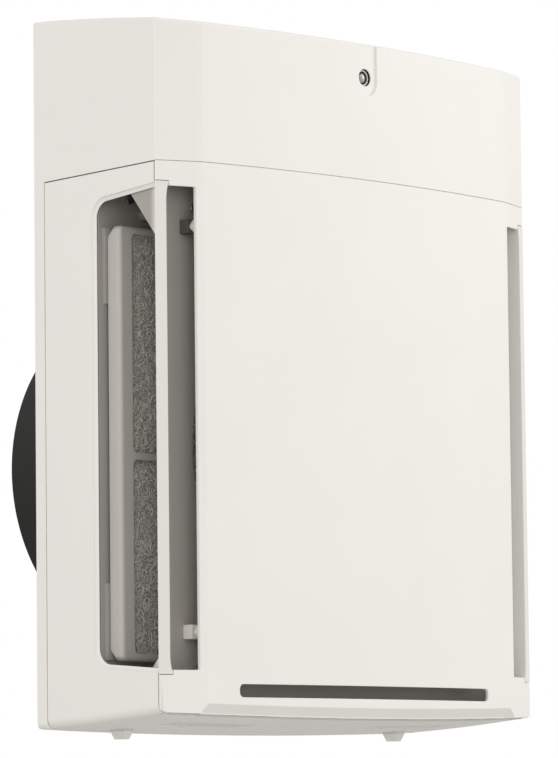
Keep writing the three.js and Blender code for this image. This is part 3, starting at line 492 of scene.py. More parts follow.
face_front = bow_depth(0)
above_head = HEAD_RISE + 23.5
lens_pad = [(PAD_HALF, above_head), (-PAD_HALF, above_head)]
lens_pad += arc(0, LENS_Z - PAD_DROP, PAD_HALF, 180, 360, 24)
housing_cuts = [
    rod("duct_hole", 0, DUCT_Z, DUCT_HOLE, *THROUGH_BACK, 96),
    rod("cable_hole", *CABLE_HOLE, *THROUGH_BACK, 32),
    prism("lens_pad", lens_pad, "depth", face_front - PAD_SINK, face_front + 5),
    rod("lens_hole", 0, LENS_Z, LENS_HOLE, face_front - 9, face_front + 5, 48),
]
for side in (-1, 1):
    x, z, radius = KEYHOLE
    x = side * x
    housing_cuts.append(rod("keyhole", x, z, radius, *THROUGH_BACK, 32))
    slot_shape = rounded_box(x - KEY_SLOT_HALF, z, x + KEY_SLOT_HALF, KEY_SLOT_HALF, 2.7)
    housing_cuts.append(prism("key_slot", slot_shape, "depth", *THROUGH_BACK))
    x, z, radius = LOW_HOLE
    housing_cuts.append(rod("low_hole", side * x, z, radius, *THROUGH_BACK, 24))
for corner in CORNERS:
    x, z = middle_of(f"seat_screw_{corner}")
    housing_cuts.append(rod("seat_hole", x, z, SEAT_HOLE, *THROUGH_BACK, 24))
shaped(housing, housing_cuts)
eased(housing, 0.3)
fitted(housing, "housing", "white_plastic", white_plastic, "main_housing")

# ---------------------------------------------------------------- lower shell
# White ABS tray that closes both sides and the underside. Each side has a large opening with a flared
# edge, the lower edges are well rounded, and the floor is pierced for the catches and by two vents.
SHELL_REAR = TRAY_RIM + SEAM
SHELL_FRONT = SIDE_DEPTH - 0.4
LOWER_ROUND = 7.0


def trough(d, inset):
    """The U-shaped section of the shell at one depth, from the left top round to the right top."""
    half = HALF_WIDTH - inset
    r = LOWER_ROUND - inset
    top = seam_z(HALF_WIDTH, d) - SEAM
    low = bottom_z(HALF_WIDTH, d) + inset
    left = [(-half, top - (top - low - r) * i / 4) for i in range(4)]
    left += arc(-half + r, low + r, r, 180, 270, 8)
    columns = ((half - r) * (i / 10 - 1) for i in range(1, 20))
    sag = [(x, bottom_z(x, d) + inset) for x in columns]
    right = [(-x, z) for x, z in reversed(left)]
    return left + sag + right


stations = [SHELL_REAR, SHELL_REAR + 0.4]
stations += [SHELL_REAR + (SHELL_FRONT - SHELL_REAR) * i / 12 for i in range(1, 12)] + [SHELL_FRONT]
shell_rings = [[(x, d, z) for x, z in trough(d, 0) + trough(d, COVER_WALL)[::-1]] for d in stations]
shell = lofted("lower_shell_moulding", shell_rings)

UNDERGAP = 3.0
PANEL_WALL = 2.6
CHAMFER_HEIGHT = 7.5
CHAMFER_DEPTH = 5.0


def on_front(x):
    """1 on the bowed face, 0 on the facets, and a slope between them on the narrow strips."""
    return min(1.0, max(0.0, (FACE_HALF - abs(x)) / (FACE_HALF - BOW_HALF)))


LIP_REAR = SHELL_FRONT - 1.0
LIP_HALF = HALF_WIDTH - LOWER_ROUND
LIP_DROP = 2.2
LIP_LAP = (-0.12, COVER_WALL + 0.4)
front_plan = [(HALF_WIDTH, 90.0)] + plan_front(100.0) + [(-HALF_WIDTH, 90.0)]
lip_plan = [(LIP_HALF, LIP_REAR)]
lip_plan += [(x, d - CHAMFER_DEPTH * on_front(x)) for x, d in shrunk(front_plan, PANEL_WALL + UNDERGAP)
             if abs(x) < LIP_HALF and d > SHELL_FRONT]
lip_plan += [(-LIP_HALF, LIP_REAR)]


def lip_z(x, d):
    """The underside's height, with its front edge dipping a little below the panel."""
    return bottom_z(x, d) - LIP_DROP * min(1.0, max(0.0, (d - LIP_REAR) / 9)) ** 1.5


def lip_cutter(name, lift, far):
    """What lies beyond the lip's surface, as far as a level above or below it."""
    rings = []
    for d in (110 + 36 * j / 14 for j in range(15)):
        edge = lip_z(HALF_WIDTH, d) + lift
        middle = [(x, lip_z(x, d) + lift) for x in (HALF_WIDTH * (i / 12 - 1) for i in range(25))]
        section = [(-210, far), (-210, edge)] + middle + [(210, edge), (210, far)]
        rings.append([(x, d, z) for x, z in section])
    return lofted(name, rings)


lip = prism("floor_lip", lip_plan, "z", -470, -400)
shaped(lip, [lip_cutter("above", LIP_LAP[1], -390), lip_cutter("below", LIP_LAP[0], -480)])
shaped(shell, [lip], "UNION")

OPENING_TOP = seam_z(HALF_WIDTH, SIDE_DEPTH) - 18.4
OPENING_BOTTOM = bottom_z(HALF_WIDTH, SIDE_DEPTH) + 31.3
OPENING_REAR = SIDE_DEPTH - 59.9
OPENING_CORNER = 12.0
OPENING_FALL, OPENING_RISE = 5.0, 4.0


def opening_outline(grow):
    """One side opening, rounded at the rear and open towards the front, grown all round."""
    r = OPENING_CORNER + grow
    top, low = OPENING_TOP + grow, OPENING_BOTTOM - grow
    rear = OPENING_REAR - grow
    outline = [(SIDE_DEPTH + 20, top), (SIDE_DEPTH, top)]
    outline += arc(rear + r, top - OPENING_FALL - r, r, 90, 180, 14)
    outline += arc(rear + r, low + OPENING_RISE + r, r, 180, 270, 14)
    return outline + [(SIDE_DEPTH, low), (SIDE_DEPTH + 20, low)]


FLARE_IN = 2.2
FLARE_OUT = 3.0
FLARE = [(HALF_WIDTH - 10, 0.0)]
for step in range(8):
    turn = math.radians(90 * step / 7)
    FLARE.append((HALF_WIDTH - FLARE_IN * math.cos(turn), FLARE_OUT * math.sin(turn) ** 1.8))
FLARE.append((HALF_WIDTH + 2, FLARE_OUT))


def flared_opening(side):
    """The cutter for one side opening: straight through the wall, flared at the outer face."""
    rings = []
    for reach, grow in FLARE:
        rings.append([(side * reach, d, z) for d, z in opening_outline(grow)])
    return lofted("opening_cut", rings)


shell_cuts = [flared_opening(-1), flared_opening(1)]
THROUGH_FLOOR = (-470, -430)
CATCH_HALF_SPAN, CATCH_DEPTH = 143.0, 32.0
CATCH_HOLE_HALF = (5.2, 8.0)
VENT_HALF_SPAN, VENT_DEPTH = 104.0, 78.0
VENT_SLITS, VENT_PITCH = 9, 9.0
SLIT_HALF = (2.0, 11.0)
for side in (-1, 1):
    x, (wide, long) = side * CATCH_HALF_SPAN, CATCH_HOLE_HALF
    hole = rounded_box(x - wide, CATCH_DEPTH - long, x + wide, CATCH_DEPTH + long, 0.5, 3)
    shell_cuts.append(prism("catch_hole", hole, "z", *THROUGH_FLOOR))
    for i in range(VENT_SLITS):
        x, (wide, long) = side * VENT_HALF_SPAN + (i - VENT_SLITS // 2) * VENT_PITCH, SLIT_HALF
        slit = rounded_box(x - wide, VENT_DEPTH - long, x + wide, VENT_DEPTH + long, 1.9)
        shell_cuts.append(prism("vent", slit, "z", *THROUGH_FLOOR))
shaped(shell, shell_cuts)
eased(shell, 0.3)
fitted(shell, "housing", "white_plastic", white_plastic, "lower_shell")

# ---------------------------------------------------------------- front panel
# White ABS cover, bowed across its width. Four ears reach round the corners above and below the side
# gaps; a long slot lies over a mitred chamfer, and four pegs on its back push into the guide's clips.
PANEL_REAR = SIDE_DEPTH + 0.4
PANEL_LIP = 1.1
PANEL_EDGE = 0.3
EAR_LIFT = 0.6
GAP_TOP = seam_z(HALF_WIDTH, SIDE_DEPTH) - 17.5
GAP_BOTTOM = bottom_z(HALF_WIDTH, SIDE_DEPTH) + 30.2
POST_LAP = 3.5
PANEL_SEAM = 0.25
SLOT_HALF = 131.0
SLOT_HALF_HEIGHT = 4.6
SLOT_CORNER = 3.4
SLOT_Z = bottom_z(0, bow_depth(0)) + CHAMFER_HEIGHT + 9.4
POST_TIP = (187.5, 126.3)
POST_NOTCH = 2.5
GAP_CORNER = 1.2
FOOT_CORNER = 5.0
BEYOND_SIDE = 230.0
THROUGH_FRONT = (100, 160)
THROUGH_BOW = (125, 150)
panel_plan = [(x, max(d, PANEL_REAR)) for x, d in plan_front(SIDE_DEPTH, 0)]
panel_back = shrunk(panel_plan, PANEL_WALL, closed=False)
panel_back[0] = (panel_back[0][0], PANEL_REAR)
panel_back[-1] = (panel_back[-1][0], PANEL_REAR)


def set_back(x, d, drop):
    """Moves a point of the panel backwards for the chamfer, which is mitred across the narrow strips."""
    return (x, d - CHAMFER_DEPTH * max(0.0, on_front(x) - drop))


def panel_ring(height, up, skin_in=0.0):
    """One closed section of the panel, front then back, at a share of the way up the chamfer."""
    plan = shrunk(panel_plan, skin_in, False) if skin_in else panel_plan
    front = [set_back(x, d, up) for x, d in plan]
    back = [set_back(x, d, up) for x, d in panel_back]
    return [(x, d, height(x, d)) for x, d in front + back[::-1]]


def panel_low(lift):
    """The height of the panel's lower edge, or of a line that runs a lift above it."""
    return lambda x, d: bottom_z(x, min(d, SIDE_DEPTH)) + EAR_LIFT + lift


panel_rings = [panel_ring(panel_low(0.0), 0.0, PANEL_EDGE), panel_ring(panel_low(PANEL_EDGE), 0.0)]
for i in range(11):
    lift = PANEL_LIP + (CHAMFER_HEIGHT - PANEL_LIP) * i / 10
    panel_rings.append(panel_ring(panel_low(lift), i / 10))
for z in (-430 + 365 * i / 12 for i in range(13)):
    panel_rings.append(panel_ring(lambda x, d, z=z: z, 1.0))
panel_rings.append(panel_ring(lambda x, d: seam_z(x, d) - PANEL_SEAM, 1.0))
panel = lofted("front_cover", panel_rings)

panel_cuts = []
for side in (-1, 1):
    low_x, high_x = sorted((side * FACE_HALF, side * BEYOND_SIDE))
    gap = rounded_box(low_x, GAP_BOTTOM, high_x, GAP_TOP, GAP_CORNER)
    panel_cuts.append(prism("gap_cut", gap, "depth", *THROUGH_FRONT))
    low_x, high_x = sorted((side * (POST_TIP[0] - POST_NOTCH), side * BEYOND_SIDE))
    low, high = GAP_BOTTOM - POST_LAP, GAP_TOP + POST_LAP
    notch = [(low_x, low), (high_x, low), (high_x, high), (low_x, high)]
    panel_cuts.append(prism("post_cut", notch, "depth", *THROUGH_FRONT))
    low = panel_low(0)(HALF_WIDTH, SIDE_DEPTH)
    front = PANEL_REAR + FOOT_CORNER
    foot = [(PANEL_REAR - 1, low - 1), (front, low - 1), (front, low)]
    foot += arc(front, low + FOOT_CORNER, FOOT_CORNER, 270, 180, 8)
    foot.append((PANEL_REAR - 1, low + FOOT_CORNER))
    low_x, high_x = sorted((side * (HALF_WIDTH - 5), side * (HALF_WIDTH + 5)))
    panel_cuts.append(prism("foot_cut", foot, "x", low_x, high_x))
low, high = SLOT_Z - SLOT_HALF_HEIGHT, SLOT_Z + SLOT_HALF_HEIGHT
slot = rounded_box(-SLOT_HALF, low, SLOT_HALF, high, SLOT_CORNER, 8)
panel_cuts.append(prism("slot_cut", slot, "depth", *THROUGH_BOW))
shaped(panel, panel_cuts)

FLANGE_INSET = 10.0
PEG_RADIUS, PEG_END = 2.6, 115.9
PEG_ROOT_RADIUS, PEG_ROOT_END = 5.1, 123.9
flange_low, flange_high = GAP_BOTTOM - 4, GAP_TOP + 4
panel_ribs = []
for side in (-1, 1):
    outer = side * (FACE_HALF - FLANGE_INSET)
    inner = outer - side * PANEL_WALL
    rear, front = FACE_DEPTH - 11, FACE_DEPTH - 1
    shape = [(inner, rear), (outer, rear), (outer, front), (inner, front)]
    panel_ribs.append(prism("flange", shape, "z", flange_low, flange_high))
for corner in CORNERS:
    x, z = middle_of(f"panel_clip_{corner}")
    panel_ribs.append(rod("peg", x, z, PEG_RADIUS, PEG_END, FACE_DEPTH - 0.6, 24))
    panel_ribs.append(rod("peg_root", x, z, PEG_ROOT_RADIUS, PEG_ROOT_END, FACE_DEPTH - 0.6, 32))
shaped(panel, panel_ribs, "UNION")
eased(panel, 0.35)
fitted(panel, "front_panel", "white_plastic", white_plastic, "front_panel")

# ---------------------------------------------------------------- air guide
# Pale ABS moulding behind the panel: the two corner posts, the curves that lead the air inwards and the
# flat baffle with its large round hole. Four hollow legs stand on the filter seat.
PALE, PALE_DUST = (0.74, 0.725, 0.69), (0.45, 0.43, 0.40)
# Painted shade: the air guide is painted darker towards the back, from the pale colour to the next grey
# between the two depths after it, in place of the shade behind the panel.
PAINTED_SHADE_GREY = (0.38, 0.36, 0.335)
SHADE_START_DEPTH, SHADE_FULL_DEPTH = 0.1205, 0.1135
inner_plastic = plastic("inner_plastic", PALE, PALE_DUST, 0.5, dustiness=0.5)


def painted_shade_by_depth(material, lit_colour, grey):
    """Paints shade into a moulded plastic: its colour darkens with depth where the air guide lies behind
    the panel.
    """
    tree = material.node_tree
    where = tree.nodes.new("ShaderNodeTexCoord")
    split = tree.nodes.new("ShaderNodeSeparateXYZ")
    ramp = tree.nodes.new("ShaderNodeMapRange")
    ramp.interpolation_type = "SMOOTHSTEP"
    ramp.inputs["From Min"].default_value = -SHADE_START_DEPTH
    ramp.inputs["From Max"].default_value = -SHADE_FULL_DEPTH
    blend = tree.nodes.new("ShaderNodeMix")
    blend.data_type = "RGBA"
    blend.inputs["A"].default_value = (*lit_colour, 1)
    blend.inputs["B"].default_value = (*grey, 1)
    cover = next(node for node in tree.nodes if node.type == "GROUP")
    tree.links.new(where.outputs["Object"], split.inputs["Vector"])
    tree.links.new(split.outputs["Y"], ramp.inputs["Value"])
    tree.links.new(ramp.outputs["Result"], blend.inputs["Factor"])
    tree.links.new(blend.outputs["Result"], cover.inputs["Base"])
    return material


# The guide's plastic carries painted shade that darkens it towards the back.
guide_plastic = painted_shade_by_depth(plastic("guide_plastic", PALE, PALE_DUST, 0.5, dustiness=0.5), PALE, PAINTED_SHADE_GREY)
GUIDE_DEPTH = 112.5
GUIDE_WALL = 2.4
GUIDE_HOLE = 150.0
SEAT_DEPTH = 62.0
POST_REAR = 122.0
WEB_FACE = 191.6
POST_EDGE = (194.9, 123.9)
LEG_RADIUS, LEG_BORE = 4.5, 2.2


def bezier(points, steps):
    """A smooth curve from the first point to the last, led by the two between them."""
    a, b, c, d = (Vector(p) for p in points)
    curve = []
    for i in range(steps + 1):
        t = i / steps
        u = 1 - t
        curve.append(tuple(a * u ** 3 + b * 3 * t * u * u + c * 3 * t * t * u + d * t ** 3))
    return curve


def post_section(side, flare):
    """Post and curve of one side in plan, from the outer corner in to the flat baffle and back."""
    tip = (POST_TIP[0] - flare, POST_TIP[1] + flare * (FACE_DEPTH - FACET_DEPTH) / (HALF_WIDTH - FACE_HALF))
    root = HALF_WIDTH - 42
    rear_depth = GUIDE_DEPTH - GUIDE_WALL
    front_lead = [(183.5 - flare * 0.8, 116.5), (179.5 - flare * 0.5, GUIDE_DEPTH)]
    rear_lead = [(188.6, rear_depth + 4), (180.6, rear_depth)]
    front = bezier([tip] + front_lead + [(root, GUIDE_DEPTH)], 24)
    rear = bezier([(WEB_FACE, POST_REAR)] + rear_lead + [(root, rear_depth)], 24)
    section = [(HALF_WIDTH, POST_REAR)] + soft_corner((HALF_WIDTH, POST_REAR), POST_EDGE, tip, 1.6, 5)
    section += soft_corner(POST_EDGE, tip, front[2], 0.7, 4)[:-1] + front[2:]
    section += [(0.0, GUIDE_DEPTH), (0.0, rear_depth)] + rear[::-1]
    return [(side * x, d) for x, d in section]


guide_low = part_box("air_guide")[0].z * 1000
guide_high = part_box("air_guide")[1].z * 1000
post_low, post_high = GAP_BOTTOM - POST_LAP + 0.4, GAP_TOP + POST_LAP - 0.4
FLARE_HEIGHT = 14.0
FLARE_WIDTH = 2.2


def post(name, side):
    """One post with the curve behind it; its front edge swells towards both ends."""
    rings = []
    for i in range(9):
        rings.append((post_low + FLARE_HEIGHT * i / 8, FLARE_WIDTH * (1 - i / 8) ** 2.2))
    rings += [(post_high + post_low - z, flare) for z, flare in reversed(rings)]
    return lofted(name, [[(x, d, z) for x, d in post_section(side, flare)] for z, flare in rings])


guide = post("air_guide_moulding", 1)
plate_half = FACE_HALF - 6
plate_rear = GUIDE_DEPTH - GUIDE_WALL
plate = [(-plate_half, plate_rear), (plate_half, plate_rear),
         (plate_half, GUIDE_DEPTH), (-plate_half, GUIDE_DEPTH)]
guide_parts = [post("left_post", -1), prism("baffle", plate, "z", guide_low, guide_high)]
guide_cuts = [rod("guide_hole", 0, DUCT_Z, GUIDE_HOLE, GUIDE_DEPTH - 6, GUIDE_DEPTH + 3, 128)]
for side in (-1, 1):
    for z, way, deep, tall in ((OPENING_TOP, 1, 28.7, 37.0), (OPENING_BOTTOM, -1, 9.7, 10.5)):
        rear = SIDE_DEPTH - deep
        shape = [(SIDE_DEPTH + 1, z + way * 3), (rear, z + way * 3), (rear, z),
                 (SIDE_DEPTH, z - way * tall), (SIDE_DEPTH + 1, z - way * tall)]
        low_x, high_x = sorted((side * (HALF_WIDTH - 5), side * WEB_FACE))
        guide_parts.append(prism("web", shape, "x", low_x, high_x))
for corner in CORNERS:
    x, z = middle_of(f"guide_screw_{corner}")
    guide_parts.append(rod("leg", x, z, LEG_RADIUS, SEAT_DEPTH + 0.4, GUIDE_DEPTH - 0.5, 32))
    guide_cuts.append(rod("leg_bore", x, z, LEG_BORE, SEAT_DEPTH - 1, GUIDE_DEPTH + 2, 24))
shaped(guide, guide_parts, "UNION")
shaped(guide, guide_cuts)
eased(guide, 0.3)
fitted(guide, "housing", "inner_plastic", guide_plastic, "air_guide")


# ---------------------------------------------------------------- carried-over moulded parts
# Clips, filter seat, head floor, catches and their guides keep their designed shape and get softened
# moulded edges. The lower clips and the catches are white like the covers; the upper clips are painted
# near-black as painted shade for the shaded sockets they sit in.
def softened(node, material, radius=0.3):
    """A CAD node keeps its shape and gets eased edges, smooth shading and a material."""
    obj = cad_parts[node]
    obj.data.materials.clear()
    obj.data.materials.append(material)
    weld = obj.modifiers.new("weld", "WELD")
    weld.merge_threshold = 2e-6
    flat = obj.modifiers.new("flat", "DECIMATE")
    flat.decimate_type = "DISSOLVE"
    flat.angle_limit = math.radians(0.2)
    edge = obj.modifiers.new("edge", "BEVEL")
    edge.width = radius / 1000
    edge.segments = 2
    edge.limit_method = "ANGLE"
    edge.angle_limit = math.radians(32)
    edge.use_clamp_overlap = False
    normals = obj.modifiers.new("normals", "WEIGHTED_NORMAL")
    normals.keep_sharp = True
    for face in obj.data.polygons:
        face.use_smooth = True


# Painted shade: the upper clips get this near-black in place of the shade in the sockets round them.
socket_shade_plastic = plastic("painted_shade_clips", (0.09, 0.085, 0.08), (0.2, 0.19, 0.18), 0.5)
seat_plastic = plastic("seat_plastic", (0.34, 0.325, 0.305), (0.33, 0.31, 0.29), 0.5, dustiness=0.5)
for corner in CORNERS:
    softened(f"panel_clip_{corner}", socket_shade_plastic if "upper" in corner else white_plastic)
for node in ("catch_left", "catch_right"):
    softened(node, white_plastic, 0.3)
for node in ("filter_seat", "head_floor", "catch_guide_left", "catch_guide_right"):
    softened(node, seat_plastic)
for place in ("rear_left", "rear_right", "front_left", "front_right"):
    softened(f"board_spacer_{place}", inner_plastic, 0.2)

# ---------------------------------------------------------------- filter frame
# Grey ABS frame with one crossbar. Its front edges are rounded, and its border is chamfered at the back
# so that it slides past the opening's edge.
grey_plastic = plastic("grey_plastic", (0.50, 0.48, 0.45), (0.33, 0.31, 0.29), 0.5, dustiness=0.4)
FRAME_ROUND = 3.2
frame_low, frame_high = (corner * 1000 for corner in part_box("filter_frame"))
frame_front, frame_rear = -frame_low.y, -frame_high.y
SIDE_RIM, TOP_RIM, FRONT_LIP = 12.4, 5.5, 2.0
CROSSBAR = 5.2
CROSSBAR_DROP = 9.2
window_low, window_high = frame_low.z + TOP_RIM, frame_high.z - TOP_RIM
bar = (window_low + window_high) / 2 - CROSSBAR_DROP


def frame_ring(depth, inset, chamfer=0.0):
    outline = rounded_box(frame_low.x + inset, frame_low.z + inset + chamfer, frame_high.x - inset,
                          frame_high.z - inset - chamfer, 4.5 - inset, 6)
    return [(x, depth, z) for x, z in outline]


frame_rings = [frame_ring(frame_rear, 0.0, 5.0), frame_ring(frame_rear + 5.0, 0.0)]
for i in range(7):
    turn = math.radians(90 * i / 6)
    frame_rings.append(frame_ring(frame_front - FRAME_ROUND * (1 - math.sin(turn)),
                                  FRAME_ROUND * (1 - math.cos(turn))))
grille = lofted("filter_cassette", frame_rings)
window_half = frame_high.x - SIDE_RIM
frame_cuts = []
for low, high in ((window_low, bar - CROSSBAR / 2), (bar + CROSSBAR / 2, window_high)):
    opening = rounded_box(-window_half, low, window_half, high, 4, 8)
    frame_cuts.append(prism("window", opening, "depth", frame_rear - 1, frame_front + 1))
pocket = rounded_box(-window_half - 4, window_low - 2.5, window_half + 4, window_high + 2.5, 4, 8)
frame_cuts.append(prism("pocket", pocket, "depth", frame_rear - 1, frame_front - FRONT_LIP))
shaped(grille, frame_cuts)
eased(grille, 0.45)
fitted(grille, "filter", "grey_plastic", grey_plastic, "filter_frame")

# ---------------------------------------------------------------- filter mat
# Coarse mat of curled synthetic fibres: a felted base speckled dark and light, with thousands of loose
# curly threads over its face, held at its edges behind the frame's border.
FIBRE_COUNT = 9000
FIBRE_RADIUS = 0.24
FIBRE_SIDES = 3
FIBRE_STEPS = 6


def tangled_fibre():
    """Shader group: strands of two tones, lying at random, with their relief."""
    group = bpy.data.node_groups.new("tangled_fibre", "ShaderNodeTree")
    face = group.interface
    for label, value in (("Dark", (0.2, 0.19, 0.18, 1)), ("Light", (0.8, 0.78, 0.74, 1))):
        face.new_socket(label, in_out="INPUT", socket_type="NodeSocketColor").default_value = value
    face.new_socket("Size", in_out="INPUT", socket_type="NodeSocketFloat").default_value = 800.0
    face.new_socket("Color", in_out="OUTPUT", socket_type="NodeSocketColor")
    face.new_socket("Height", in_out="OUTPUT", socket_type="NodeSocketFloat")
    make, link = group.nodes.new, group.links.new
    given = make("NodeGroupInput")
    out = make("NodeGroupOutput")
    where = make("ShaderNodeTexCoord")
    speck = make("ShaderNodeTexNoise")
    speck.inputs["Detail"].default_value = 6.0
    speck.inputs["Roughness"].default_value = 0.7
    link(where.outputs["Object"], speck.inputs["Vector"])
    link(given.outputs["Size"], speck.inputs["Scale"])
    tone = make("ShaderNodeMapRange")
    tone.inputs["From Min"].default_value = 0.38
    tone.inputs["From Max"].default_value = 0.62
    link(speck.outputs["Fac"], tone.inputs["Value"])
    blend = make("ShaderNodeMix")
    blend.data_type = "RGBA"
    link(tone.outputs["Result"], blend.inputs["Factor"])
    link(given.outputs["Dark"], blend.inputs["A"])
    link(given.outputs["Light"], blend.inputs["B"])
    link(blend.outputs["Result"], out.inputs["Color"])
    link(speck.outputs["Fac"], out.inputs["Height"])
    return group


strands = tangled_fibre()


def fibre_paint(name, dark, light, size):
    """A fibrous material: one Principled shader fed by the shared strands group."""
    made = bpy.data.materials.new(name)
    made.use_nodes = True
    tree = made.node_tree
    shader = tree.nodes["Principled BSDF"]
    shader.inputs["Roughness"].default_value = 0.85
    cover = tree.nodes.new("ShaderNodeGroup")
    cover.node_tree = strands
    cover.inputs["Dark"].default_value = (*dark, 1)
    cover.inputs["Light"].default_value = (*light, 1)
    cover.inputs["Size"].default_value = size
    bump = tree.nodes.new("ShaderNodeBump")
    bump.inputs["Strength"].default_value = 0.6
    bump.inputs["Distance"].default_value = 0.0006
    tree.links.new(cover.outputs["Height"], bump.inputs["Height"])
    tree.links.new(cover.outputs["Color"], shader.inputs["Base Color"])
    tree.links.new(bump.outputs["Normal"], shader.inputs["Normal"])
    return made


def fibre(rng, x, z, depth, bounds, points, faces):
    """Adds one curled thread that wanders across the face of the mat."""
    heading = rng.uniform(0, 2 * math.pi)
    curl = rng.uniform(-0.55, 0.55)
    rise = rng.uniform(0, 2 * math.pi)
    step = rng.uniform(1.2, 2.1)
    first = len(points)
    for i in range(FIBRE_STEPS):
        lift = depth + 0.55 * math.sin(rise + i * 1.1)
        side = Vector((-math.sin(heading), 0, math.cos(heading)))
        for k in range(FIBRE_SIDES):
            a = 2 * math.pi * k / FIBRE_SIDES
            off = side * (FIBRE_RADIUS * math.cos(a))
            points.append((x + off.x, lift + FIBRE_RADIUS * math.sin(a), z + off.z))
        if i:
            base = first + (i - 1) * FIBRE_SIDES
            for k in range(FIBRE_SIDES):
                m = (k + 1) % FIBRE_SIDES
                faces.append((base + k, base + m, base + FIBRE_SIDES + m, base + FIBRE_SIDES + k))
        x = min(bounds[1], max(bounds[0], x + step * math.cos(heading)))
        z = min(bounds[3], max(bounds[2], z + step * math.sin(heading)))
        heading += curl + rng.uniform(-0.35, 0.35)
    last = first + (FIBRE_STEPS - 1) * FIBRE_SIDES
    faces.append(tuple(range(first, first + FIBRE_SIDES)))
    faces.append(tuple(range(last, last + FIBRE_SIDES)))


mat_low, mat_high = (corner * 1000 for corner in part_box("filter_mat"))
mat_front = -mat_low.y
rng = random.Random(11)
felt_columns, felt_rows = 120, 100
felt_points = []
for j in range(felt_rows + 1):
    for i in range(felt_columns + 1):
        x = mat_low.x + 0.4 + (mat_high.x - mat_low.x - 0.8) * i / felt_columns
        z = mat_low.z + 0.4 + (mat_high.z - mat_low.z - 0.8) * j / felt_rows
        felt_points.append((x, mat_front - 1.7 + rng.uniform(-0.5, 0.5), z))
felt_faces = []
for j in range(felt_rows):
    for i in range(felt_columns):
        a = j * (felt_columns + 1) + i
        felt_faces.append((a, a + 1, a + felt_columns + 2, a + felt_columns + 1))
edge_loop = (list(range(felt_columns + 1))
             + [j * (felt_columns + 1) + felt_columns for j in range(1, felt_rows + 1)]
             + [felt_rows * (felt_columns + 1) + i for i in range(felt_columns - 1, -1, -1)]
             + [j * (felt_columns + 1) for j in range(felt_rows - 1, 0, -1)])
back_first = len(felt_points)
for index in edge_loop:
    x, _, z = felt_points[index]
    felt_points.append((x, -mat_high.y + 0.2, z))
back = list(range(back_first, len(felt_points)))
for k in range(len(edge_loop)):
    m = (k + 1) % len(edge_loop)
    felt_faces.append((edge_loop[m], edge_loop[k], back[k], back[m]))
felt_faces.append(tuple(back))
felt = piece("filter_felt", felt_points, felt_faces)
felt_paint = fibre_paint("filter_felt", (0.16, 0.15, 0.136), (0.72, 0.69, 0.64), 800.0)
fitted(felt, "filter", "filter_fibre", felt_paint, "filter_mat")

thread_points, thread_faces = [], []
thread_bounds = (mat_low.x + 1.0, mat_high.x - 1.0, mat_low.z + 1.0, mat_high.z - 1.0)
for _ in range(FIBRE_COUNT):
    x = rng.uniform(thread_bounds[0], thread_bounds[1])
    z = rng.uniform(thread_bounds[2], thread_bounds[3])
    fibre(rng, x, z, mat_front - rng.uniform(0.85, 1.5), thread_bounds, thread_points, thread_faces)
threads = piece("filter_threads", thread_points, thread_faces)
for face in threads.data.polygons:
    face.use_smooth = True
thread_paint = fibre_paint("filter_threads", (0.72, 0.69, 0.64), (0.95, 0.93, 0.89), 160.0)
fitted(threads, "filter", "filter_fibre", thread_paint, "filter_mat")

# ---------------------------------------------------------------- pleated filter
# Fine folded paper-like fleece behind the mat, glued along its edges in the frame's pocket.
paper = fibre_paint("pleated_fleece", (0.70, 0.69, 0.65), (0.86, 0.85, 0.81), 900.0)
softened("filter_pleats", paper, 0.15)

# ---------------------------------------------------------------- wall duct, bracket and fan
# Matt black ABS: the round duct that passes through the wall, the four-armed motor bracket screwed to
# its flange, and the seven-bladed axial impeller. A rubber ring seals the flange against the back plate.
black_plastic = plastic("black_plastic", (0.006, 0.0065, 0.0045), (0.05, 0.048, 0.045), 0.55, 700.0,
                        mottle=0.3, dustiness=0.5)
DUCT_OUTER = 125.0
DUCT_INNER = 122.0
FLANGE = 140.0
END_ROUND = 1.2
duct_end = -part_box("wall_duct")[1].y * 1000
duct_front = -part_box("wall_duct")[0].y * 1000
profile = [(DUCT_INNER, duct_front), (DUCT_INNER, duct_end + END_ROUND)]
profile += [(DUCT_INNER + 1.5 - 1.5 * math.cos(a), duct_end + END_ROUND - END_ROUND * math.sin(a))
            for a in (math.radians(180 * i / 10) for i in range(1, 10))]
profile += [(DUCT_OUTER, duct_end + END_ROUND), (DUCT_OUTER, duct_front - 3)]
profile += [(FLANGE - 0.5, duct_front - 3), (FLANGE, duct_front - 2.5)]
profile += [(FLANGE, duct_front - 0.5), (FLANGE - 0.5, duct_front)]
duct_rings = []
for i in range(144):
    a = 2 * math.pi * i / 144
    duct_rings.append([(r * math.cos(a), d, DUCT_Z + r * math.sin(a)) for r, d in profile])
duct = lofted("round_duct", duct_rings, loop=True)
eased(duct, 0.2)
fitted(duct, "housing", "black_plastic", black_plastic, "wall_duct")

for node, radius in (("motor_bracket", 0.5), ("impeller", 0.4),
                     ("terminal_block", 0.3), ("sensor_bezel", 0.25)):
    softened(node, black_plastic, radius)

# ---------------------------------------------------------------- rubber parts
# Soft black rubber: the duct's seal and the grommet of the cable inlet, moulded with a dull bloom.
rubber = plastic("rubber", (0.022, 0.022, 0.021), (0.09, 0.088, 0.084), 0.75, 1500.0,
                 mottle=0.4, dustiness=0.6)
for node in ("duct_seal", "cable_grommet"):
    softened(node, rubber, 0.2)

